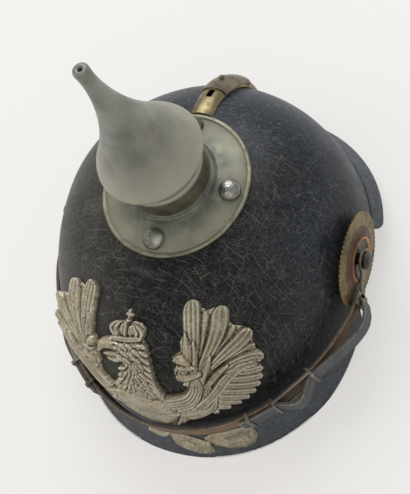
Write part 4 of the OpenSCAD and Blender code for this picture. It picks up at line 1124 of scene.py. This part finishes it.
def wing(r, m):
    """One wing, drawn for the wearer's left; m is 1, or -1 for its mirror."""
    def at(points):
        if m > 0:
            return list(points)
        # The right wing's inner edge lies further out, clear of the beak
        return [(-x - 5 * min(max((36 - x) / 16, 0), 1.3) * min(max((y - 3) / 9, 0), 1), y) for x, y in points]

    # One plate under all the feathers
    r.shape(at([(27, 6), (22, 9.5), (22, 13), (24, 16), (21.6, 20.5), (23.4, 22.4), (26.6, 24), (25.8, 29), (28, 33),
        (28.6, 36.5), (26.4, 43), (27, 46), (31, 46.6), (35, 44), (38.4, 42.4), (42, 43), (46, 41.6), (48.4, 38),
        (51.6, 34), (55, 32.6), (58.8, 30.4), (60.2, 25), (60.4, 21), (62.6, 15.6), (62.4, 10), (60, 6), (60, 0),
        (58, -4), (57.6, -8.6), (54.4, -12), (52, -15.6), (48, -19.4), (42, -22.4), (34, -26), (23, -31), (10, -33),
        (8, -24), (18, -18), (27, -8)]), 0.8, 2.0, 2.2)
    # Lower comb of short round-ended feathers, the lowest first
    comb = [((29, -21), (37, -26.4), 2.3), ((33, -17), (43.4, -23.6), 2.5), ((36, -13), (49, -20.4), 2.6), ((39, -9),
        (53.4, -16.4), 2.7), ((42, -5), (57, -11.6), 2.8), ((45, -1), (59.8, -6), 2.9), ((48, 3), (61.6, 0), 2.9),
        ((51, 7), (62.4, 6), 2.9)]
    for a, c, w in comb:
        r.ridges(at([a, ((a[0] + c[0]) / 2, (a[1] + c[1]) / 2 - 0.6), c]), (1.5, w, w), 1.3, 3.3, 2, 0.7, 0.22)
    # The long feathers, narrow low ones between broad ones with round ends
    for line, *form in (
            ([(41.2, 11.5), (53.5, 19.4), (60.8, 21.6)], (1.2, 2.0, 2.4), 1.4, 2.6, 1, 0.3, 0.2),
            ([(38.2, 15), (48.4, 26), (52.2, 33.6)], (1.4, 2.2, 2.6), 1.4, 2.7, 1, 0.3, 0.2),
            ([(34.8, 16.5), (37.2, 31), (38, 42.4)], (1.6, 2.2, 2.8), 1.4, 2.8, 1, 0.3, 0.2),
            ([(42.2, 8.6), (52, 13.2), (58.4, 14.4), (63.4, 13.2)], (1.8, 3.0, 4.0, 4.0), 1.5, 3.8, 3, 0.8, 0.2),
            ([(39.5, 12.4), (48.4, 20.4), (54.8, 25.6), (58.6, 30.6)], (1.8, 3.0, 4.2, 4.3), 1.6, 4.1, 3, 0.85, 0.2),
            ([(36.2, 14), (42.4, 26), (45.2, 34.8), (45, 43.4)], (2.0, 3.2, 4.5, 4.6), 1.7, 4.4, 3, 0.9, 0.15),
            ([(31.6, 12), (32.4, 26), (31.8, 36.5), (30, 47)], (2.6, 3.9, 4.6, 4.8), 1.8, 4.7, 4, 0.95, 0.14)):
        r.ridges(at(line), *form)
    # Short coverts over the roots of the long feathers
    for line, w in (([(31, 4), (32.6, 14), (33.4, 24), (33, 30)], 2.2), ([(35, 4), (38.4, 13), (41.4, 21.6)], 2.1),
                    ([(38, 2), (43.6, 9), (49, 14.4)], 2.0)):
        r.feather(at(line), (1.8, w, w * 0.7), 2.4, 4.8, 1.6, 1.0, 0.4, 0.35, 0.35, 0.8)
    # Leaf and knobs down the inner edge
    for line, *form in (
            ([(25.4, 9), (28.6, 16), (30.2, 24), (28.6, 34.4)], (2.4, 3.0, 2.6, 1.4), 2.0, 4.4, 1.7, 1.2, 0.5, 0.4,
             0.35, 0.8),
            ([(31, 15), (27, 20), (22.6, 20.4)], (2.2, 2.6, 2.4), 2.2, 4.8, 9, 0, 0.3, 0.0, 0.5, 0.9),
            ([(35, 11), (29, 9), (23.4, 11.2)], (1.8, 2.6, 3.2), 2.4, 5.0, 2.2, 0.4, 0.3, 0.3, 0.5, 0.9),
            ([(33, 15.6), (28.6, 15.2), (24.6, 16.2)], (1.2, 1.6, 1.3), 2.6, 5.0, 9, 0, 0.2, 0.0, 0.5, 0.9),
            ([(33, 5), (29.4, 5.4), (26.4, 5)], (1.6, 1.9, 1.6), 2.2, 4.4, 9, 0, 0, 0.0, 0.5, 0.9)):
        r.feather(at(line), *form)
    # Leg's long ridged curve into the breast
    for line, *form in (
            ([(40, -7), (34.6, -20), (26, -27.6), (14, -31.6), (2, -34.6)], (1.6, 3, 3.6, 3.6, 3.2), 1.6, 3.4, 3, 0.7),
            ([(37.4, 0), (35.4, -10), (28, -18.6), (18, -23.4), (6, -26)], (2.4, 3.6, 4.4, 4.4, 4), 1.9, 4.2, 4, 0.8),
            ([(32.6, 5), (31.6, -1), (27, -8.4), (18, -12.2), (6, -13.6)], (3, 4, 5, 5.6, 5.6), 2.2, 5.0, 5, 0.9)):
        r.ridges(at(line), *form, 0.08)
    # Slanting ribbon with two raised edges
    r.shape(at([(27.4, -15.6), (38, -4), (45, 6.6), (52.6, 13), (60.2, 13.6), (61, 9), (55.4, 8.4), (49.2, 2.8),
        (41.8, -7.8), (31, -19.4)]), 3.0, 3.2, 0.8, None, 0.8)
    r.line(at([(28, -16), (38.4, -4.4), (45.4, 6), (52.8, 12.2), (60, 12.8)]), 0.7, 1.2)
    r.line(at([(30.6, -18.8), (41.4, -7.4), (48.8, 3.4), (55.2, 9.2), (60.6, 9.8)]), 0.6, 1.0)


def scales(size, depth, turn=0.0):
    """Overlapping small feathers, as a change of height."""
    def detail(u, v, field):
        a = math.radians(turn)
        x, y = u * math.cos(a) + v * math.sin(a), -u * math.sin(a) + v * math.cos(a)
        row = np.floor(y / (size * 0.8))
        best = np.zeros_like(u)
        for k in (0, 1):
            cy = (row + k) * size * 0.8
            cx = (np.floor(x / size - 0.5 * ((row + k) % 2)) + 0.5 + 0.5 * ((row + k) % 2)) * size
            d = np.hypot((x - cx) / (size * 0.58), (y - cy) / (size * 0.95))
            best = np.where(d < 1, np.maximum(best, (1 - d) * 0.8 + 0.25), best)
        return depth * (best - 0.4) * np.clip(field / 1.2, 0, 1)
    return detail


eagle = Relief((-70, -50), (70, 53), 0.42)
for m in (1, -1):
    wing(eagle, m)
# Body, breast and tail
eagle.shape([(13.5, -13), (12.4, -4), (10.2, 4), (9.2, 12), (8.6, 19), (7.6, 25), (5.4, 28.6), (-9.6, 28), (-11, 20),
    (-8.4, 13), (-8.8, 8), (-12.8, 1.4), (-16.6, -4), (-21, -9), (-23, -30), (-12, -40), (0, -46.5), (12, -42),
    (20, -34), (17, -22)], 1.6, 4.8, 6, scales(3.6, 1.5, 8))
eagle.shape([(-21, -12), (-9, -5.6), (2, -7.4), (9, -7), (14, -9), (17, -26), (10, -38), (0, -45), (-12, -38),
    (-21, -27)], 2.6, 4.9, 5, scales(5.2, 0.5, 20), 0.8)
eagle.ridges([(-23, -10.6), (-10, -5.6), (2, -7.6), (13, -8)], (0.5, 0.9, 0.9, 0.5), 3.6, 5.6, 1, 0.0, 0.1)
eagle.ridges([(-24, -20), (-10, -21.6), (4, -23.4), (18, -22)], (0.5, 0.8, 0.8, 0.5), 3.6, 5.2, 1, 0.0, 0.1)
# Ragged feathers down both sides of the neck and over it
for x, y, t in ((12.4, -5.4, -56), (11.2, -1.6, -54), (10.2, 2.4, -50), (9.6, 6.4, -46), (9.2, 10.4, -42),
        (8.8, 14.4, -38), (8.2, 18.4, -32), (7.2, 22.4, -22), (6.0, 26.0, -10), (-13.4, -0.4, 222), (-10.6, 3.4, 214),
        (-9.0, 7.6, 206), (-8.2, 11.8, 200), (6.4, 3.0, -58), (5.6, 9.0, -52), (5.0, 15.0, -48), (1.8, 6.4, -70),
        (1.0, 12.4, -66), (0.4, 18.0, -60), (-2.8, 3.4, -95), (-3.4, 9.4, -95), (-4.2, 15.0, -95), (-7.0, 2.4, 238),
        (-6.6, 8.0, 235), (2.6, -0.6, -70), (7.4, -2.6, -60), (-3.0, -2.0, -95), (-9.0, -2.2, 235)):
    a = math.radians(t)
    d = np.array([math.cos(a), math.sin(a)])
    c = np.array([x, y])
    eagle.feather([c - d * 3.0, c - d * 0.6, c + d * 1.9], (1.0, 1.55, 0.9), 3.0, 5.2, 0.9, 0.7, 0.35, 0.2, 0.4, 0.9)
# Head: skull, brow, hooked beak, tongue
eagle.blob((-5.4, 22.4), 8.6, 6.2, -10, 2.4, 5.4, 0.45, 0.8)
for line, *form in (
        ([(-8.6, 23.4), (-15, 23.8), (-20.6, 21.8), (-23.2, 17.2)], (3, 3.1, 2.9, 1.8), 2.4, 5.2, 9, 0, 0.3, 0, 0.45),
        ([(-9, 19.4), (-14, 17.8), (-20.4, 16.6)], (1.9, 1.7, 1.2), 2.0, 3.9, 9, 0, 0.0, 0.0, 0.6),
        ([(-9, 16.4), (-13, 14.6), (-18.4, 14.6)], (1.5, 1.6, 0.8), 1.8, 3.6, 1.3, 0.6, 0.3, 0.15, 0.6)):
    eagle.feather(line, *form, 0.8)
eagle.blob((-10.8, 23.2), 1.6, 1.2, 0, 4.2, 6.0, 0.5, 0.8)
eagle.line([(-14.6, 24.6), (-10.6, 25.4), (-6, 24)], 0.6, 0.9)
eagle.line([(-21, 19.4), (-16, 19.6), (-9.6, 20.4)], 0.45, -0.9)
for x, y in ((-5.4, 24.4), (-1.6, 24.8), (-4.6, 20.8), (-0.8, 21.0), (2.4, 22.6), (2.6, 18.8), (-7.4, 18.0),
        (-3.4, 17.6)):
    eagle.feather([(x - 1.9, y + 0.9), (x, y), (x + 2.1, y - 1.3)], (0.8, 1.25, 0.8), 4.2, 5.6, 9, 0, 0.3, 0, 0.6, 0.8)
# Crown: a closed low dome with ribs, two medallions, a band, an orb and a cross
eagle.shape([(-12.8, 27.2), (-14.6, 29.6), (-15, 32.4), (-12.6, 34.8), (-8.4, 36.2), (-4.4, 35.4), (-0.6, 37),
    (3.8, 36.4), (6.4, 34.2), (6.2, 31.6), (4.8, 29.2), (-3.6, 28)], 2.0, 4.6, 4.2, None, 0.9)
for x, bend in ((-13.0, -0.9), (-10.6, -0.5), (1.8, 0.4), (4.4, 0.8)):
    eagle.ridges([(x * 0.86 - 0.4, 29), (x + bend, 32.4), (x * 0.62 - 1.4, 35.8)], (0.8, 1.15, 0.7),
        3.6, 5.4, 1, 0.2, 0.3)
for x in (-7.2, -2.2):
    eagle.blob((x, 32.2), 1.7, 2.7, 4, 3.4, 5.4, 0.5, 0.7)
    eagle.blob((x, 32.2), 0.9, 1.7, 4, 4.2, 4.8, 0.5, 0.6)
eagle.ridges([(-4.8, 29.4), (-4.7, 32.8), (-4.2, 36)], (0.6, 0.9, 0.7), 3.8, 5.6, 1, 0.0, 0.3)
eagle.ridges([(-13, 27.4), (-8.6, 27.8), (-3, 28.4), (5, 29.8)], (1.1, 1.3, 1.3, 1.1), 3.2, 5.4, 1, 0.0, 0.05)
eagle.line([(-12.6, 27.4), (-4, 28.3), (4.6, 29.7)], 0.35, -0.6)
eagle.blob((-4.2, 37.0), 1.3, 1.1, 0, 2.6, 4.6, 0.5)
eagle.shape([(-4.9, 37.2), (-4.8, 38.6), (-6.3, 38.6), (-6.3, 40.0), (-4.9, 40.0), (-4.8, 41.6), (-3.2, 41.6),
    (-3.1, 40.0), (-1.8, 40.0), (-1.8, 38.6), (-3.2, 38.6), (-3.2, 37.2)], 2.0, 3.8, 0.8)
piece("eagle_plate", eagle.mesh(on_skull), "helmet", plate_metal, "front_plate", sharp=70)


# The plate's lower ends lie out over the visor, drawn from above
def on_visor(u, v, h):
    u, v = np.asarray(u, float), np.asarray(v, float)
    s = np.hypot(u / SKULL_X, v / SKULL_FRONT)
    slopes = [FRONT_FALL * u / SKULL_X ** 2 / s, FRONT_FALL * v / SKULL_FRONT ** 2 / s, np.ones_like(s)]
    return lifted([u, v, VISOR_UP - FRONT_FALL * (s - 1)], slopes, h)


low = Relief((-26, -134), (58, -92), 0.4)
low.shape([(-15, -119.4), (-9, -118.8), (1, -119.8), (-5, -122), (-11, -121.6)], 0.8, 1.8, 1.6)
low.ridges([(-14, -119.8), (-9, -120.6), (-4, -120.9), (0.4, -120)], (0.8, 1.1, 1.2, 0.9), 1.4, 2.4, 1, 0.2, 0.3)
low.shape([(-1, -120.6), (4, -119.2), (9, -119.4), (17.5, -119.6), (24, -119.6), (26.6, -122.6), (23, -124.6),
    (16.7, -125.6), (9, -125.6), (4, -124.4), (1, -122.8)], 0.9, 2.4, 2.2)
low.line([(2, -122.4), (8, -124), (16, -124.6), (23, -123.4)], 0.7, 0.8)
low.shape([(8.6, -120.9), (13, -121.2), (17.1, -121.7), (15, -122.5), (11, -122.2)], 0.5, 0.4, 0.4, None, 0.3)
low.shape([(21, -118.6), (26, -115.4), (33, -112.8), (42, -108.2), (48.4, -104.6), (51, -107.6), (49.6, -111.4),
    (44.4, -115.6), (35, -119), (28.5, -119.7), (23.6, -119.4)], 1.0, 2.8, 3.4)
low.shape([(33, -114.9), (38, -112.2), (42.4, -109.8), (47.3, -107.1), (46, -110.2), (40, -113.6), (35.5, -115.3)],
    1.5, 1.3, 1.2, None, 0.4)
low.line([(26, -118.2), (34.6, -117.6), (43, -114.2), (48.6, -109.8)], 0.8, 0.7)
verts, faces = low.mesh(on_visor)
# Only what lies clear of the skull is kept
d = np.hypot(verts[:, 0] / SKULL_X, verts[:, 1] / SKULL_FRONT)
faces = [f for f in faces if min(d[list(f)]) > 1.004]
used = sorted({k for f in faces for k in f})
back = {k: i for i, k in enumerate(used)}
piece("eagle_plate_ends", (verts[used], [tuple(back[k] for k in f) for f in faces]), "helmet", plate_metal, None,
      sharp=70)

# ---------------------------------------------------------------- lining

band_profile = [(1, 3.2, 1.5), (1, 3.6, 1.0), (1, 4.3, 1.0), (1, 4.7, 1.6), (1, 4.75, 12), (0.996, 4.75, 23.4),
                (0.996, 4.3, 24), (0.996, 3.6, 24), (0.996, 3.2, 23.2)]
piece("sweatband", skull_shell([(share, -inset, h) for share, inset, h in band_profile], 160), "helmet", band_leather,
      "liner_band", sharp=50)

TONGUES, COLS, UNCUT_Z = 10, 15, 21
HALF_TONGUE = math.pi / TONGUES
LINING_X, LINING_FRONT, LINING_REAR, SLIT_HALF = 89, 110, 85, 2.05


def tongue(k):
    """One tongue of the lining, from the band up to the cord."""
    rows = []
    for share, z in curve([(1, 4), (0.985, 16), (0.95, 22), (0.92, 32), (0.85, 46), (0.7, 58), (0.48, 66),
                           (0.27, 69.2)], 5):
        half = HALF_TONGUE if z < UNCUT_Z else max(HALF_TONGUE - math.asin(min(SLIT_HALF / (95 * share), 0.9)), 0.04)
        row = []
        for f in (-1 + 2 * j / (COLS - 1) for j in range(COLS)):
            a = 2 * HALF_TONGUE * k + f * half
            # Each tongue swells between its edges and puckers towards the cord
            swell = 0.9 * (1 - f * f) * min(max((z - UNCUT_Z) / 14, 0), 1)
            pucker = 0.35 * math.cos(f * 9.4) * max(z - 60, 0) / 9
            length = LINING_FRONT if math.sin(a) > 0 else LINING_REAR
            row.append((LINING_X * share * math.cos(a), -length * share * math.sin(a),
                        z + (swell + pucker) * (0.3 + 0.7 * (z > 50))))
        rows.append(row)
    rows = np.array(rows)
    return sheet(rows, rows * (0.985, 0.985, 1) - (0, 0, 1.0))


piece("lining_tongues", joined([tongue(k) for k in range(TONGUES)]), "helmet", liner_leather, "liner_tongues",
      sharp=60)
CORD_WAY, CORD_Z = 26.5, 70.5
rows = []
for a in round_way(180):
    ring = [(b, 1.15 + 0.08 * math.cos(2 * b + 60 * a)) for b in round_way(10)]
    rows.append([((CORD_WAY + r * math.cos(b)) * math.cos(a), (CORD_WAY + r * math.cos(b)) * math.sin(a),
                  CORD_Z + r * math.sin(b)) for b, r in ring])
piece("lining_cord", (np.array(rows).reshape(-1, 3), grid_faces(180, 10, True, True)),
    "helmet", cord_cotton, "liner_cord")

# ---------------------------------------------------------------- small CAD pieces keep their shape

for node, mat in (("stud_washers", stud_steel), ("spine_screws", spine_brass), ("plate_loops", plate_metal),
                  ("plate_wedges", band_leather), ("post_nuts", buckle_metal)):
    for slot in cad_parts[node].material_slots:
        slot.material = mat

# ---------------------------------------------------------------- camera, light and floor

PHOTO_W, FOCAL_PX, SHIFT_PX = 410, 1435.19, (-19.04, -2.79)
AZ, EL, ROLL = math.radians(54.03), math.radians(58.79), math.radians(-39.98)
TARGET, DISTANCE = np.array([96.06, -70.73, 200.72]), 656.91
back = np.array([math.sin(AZ) * math.cos(EL), -math.cos(AZ) * math.cos(EL), math.sin(EL)])
right = np.cross([0, 0, 1], back)
right /= np.linalg.norm(right)
up = np.cross(back, right)
view_x = math.cos(ROLL) * right + math.sin(ROLL) * up
view_y = -math.sin(ROLL) * right + math.cos(ROLL) * up
camera = bpy.data.cameras.new("camera")
camera.sensor_width = 36
camera.sensor_fit = "HORIZONTAL"
camera.lens = FOCAL_PX / PHOTO_W * camera.sensor_width
camera.shift_x, camera.shift_y = (px / PHOTO_W for px in SHIFT_PX)
camera.clip_start = 0.02


def in_scene(name, data):
    ob = bpy.data.objects.new(name, data)
    bpy.context.scene.collection.objects.link(ob)
    return ob


camera_object = in_scene("camera", camera)
place = metres(TARGET + back * DISTANCE)[0]
camera_object.matrix_world = Matrix([(*axes, at) for *axes, at in zip(view_x, view_y, back, place)] + [(0, 0, 0, 1)])
bpy.context.scene.camera = camera_object


def lamp(name, way, distance, size, watts, colour):
    """Soft square lamp, that far from the helmet's middle along a direction."""
    light = bpy.data.lights.new(name, "AREA")
    light.shape = "RECTANGLE"
    light.size, light.size_y = size
    light.energy = watts
    light.color = colour
    ob = in_scene(name, light)
    way = Vector(way).normalized()
    ob.location = Vector((0, 0, 0.07)) + way * distance
    ob.rotation_euler = (-way).to_track_quat("-Z", "Y").to_euler()


lamp("window", (-0.25, 0.75, 0.9), 1.7, (1.3, 1.0), 17, (0.93, 0.97, 1.0))
lamp("room", (0.6, -0.9, 1.1), 2.0, (1.6, 1.6), 7, (1.0, 0.98, 0.95))
lamp("side", (-1.2, -0.5, 0.5), 1.8, (1.2, 1.2), 5, (1.0, 0.97, 0.93))

# The camera sees a warm pale room, and the helmet is lit by a cooler, dimmer one
world = bpy.data.worlds.new("room")
world.use_nodes = True
bpy.context.scene.world = world
nodes, links = world.node_tree.nodes, world.node_tree.links
nodes.clear()
mix = nodes.new("ShaderNodeMixShader")
links.new(nodes.new("ShaderNodeLightPath").outputs["Is Camera Ray"], mix.inputs[0])
for socket, colour, strength in ((1, (0.86, 0.88, 0.92, 1), 0.6), (2, (0.86, 0.835, 0.81, 1), 1.0)):
    shade = nodes.new("ShaderNodeBackground")
    shade.inputs["Color"].default_value = colour
    shade.inputs["Strength"].default_value = strength
    links.new(shade.outputs[0], mix.inputs[socket])
links.new(mix.outputs[0], nodes.new("ShaderNodeOutputWorld").inputs[0])

# The floor's shadow is softened for the camera alone
pale = Surface("pale_floor", roughness=0.8)
seen = pale.add("ShaderNodeLightPath").outputs["Is Camera Ray"]
pale.colour(pale.mix(seen, (238, 235, 232), (152, 150, 147)))
pale.put(pale.bsdf.inputs["Emission Color"], (1.0, 0.975, 0.945, 1.0))
pale.put(pale.bsdf.inputs["Emission Strength"], pale.times(seen, 0.55))
floor_mesh = bpy.data.meshes.new("floor")
floor_mesh.from_pydata([(-4, -4, 0), (4, -4, 0), (4, 4, 0), (-4, 4, 0)], [], [(0, 1, 2, 3)])
floor_mesh.materials.append(pale.mat)
in_scene("floor", floor_mesh)

bpy.context.scene.view_settings.view_transform = "Standard"
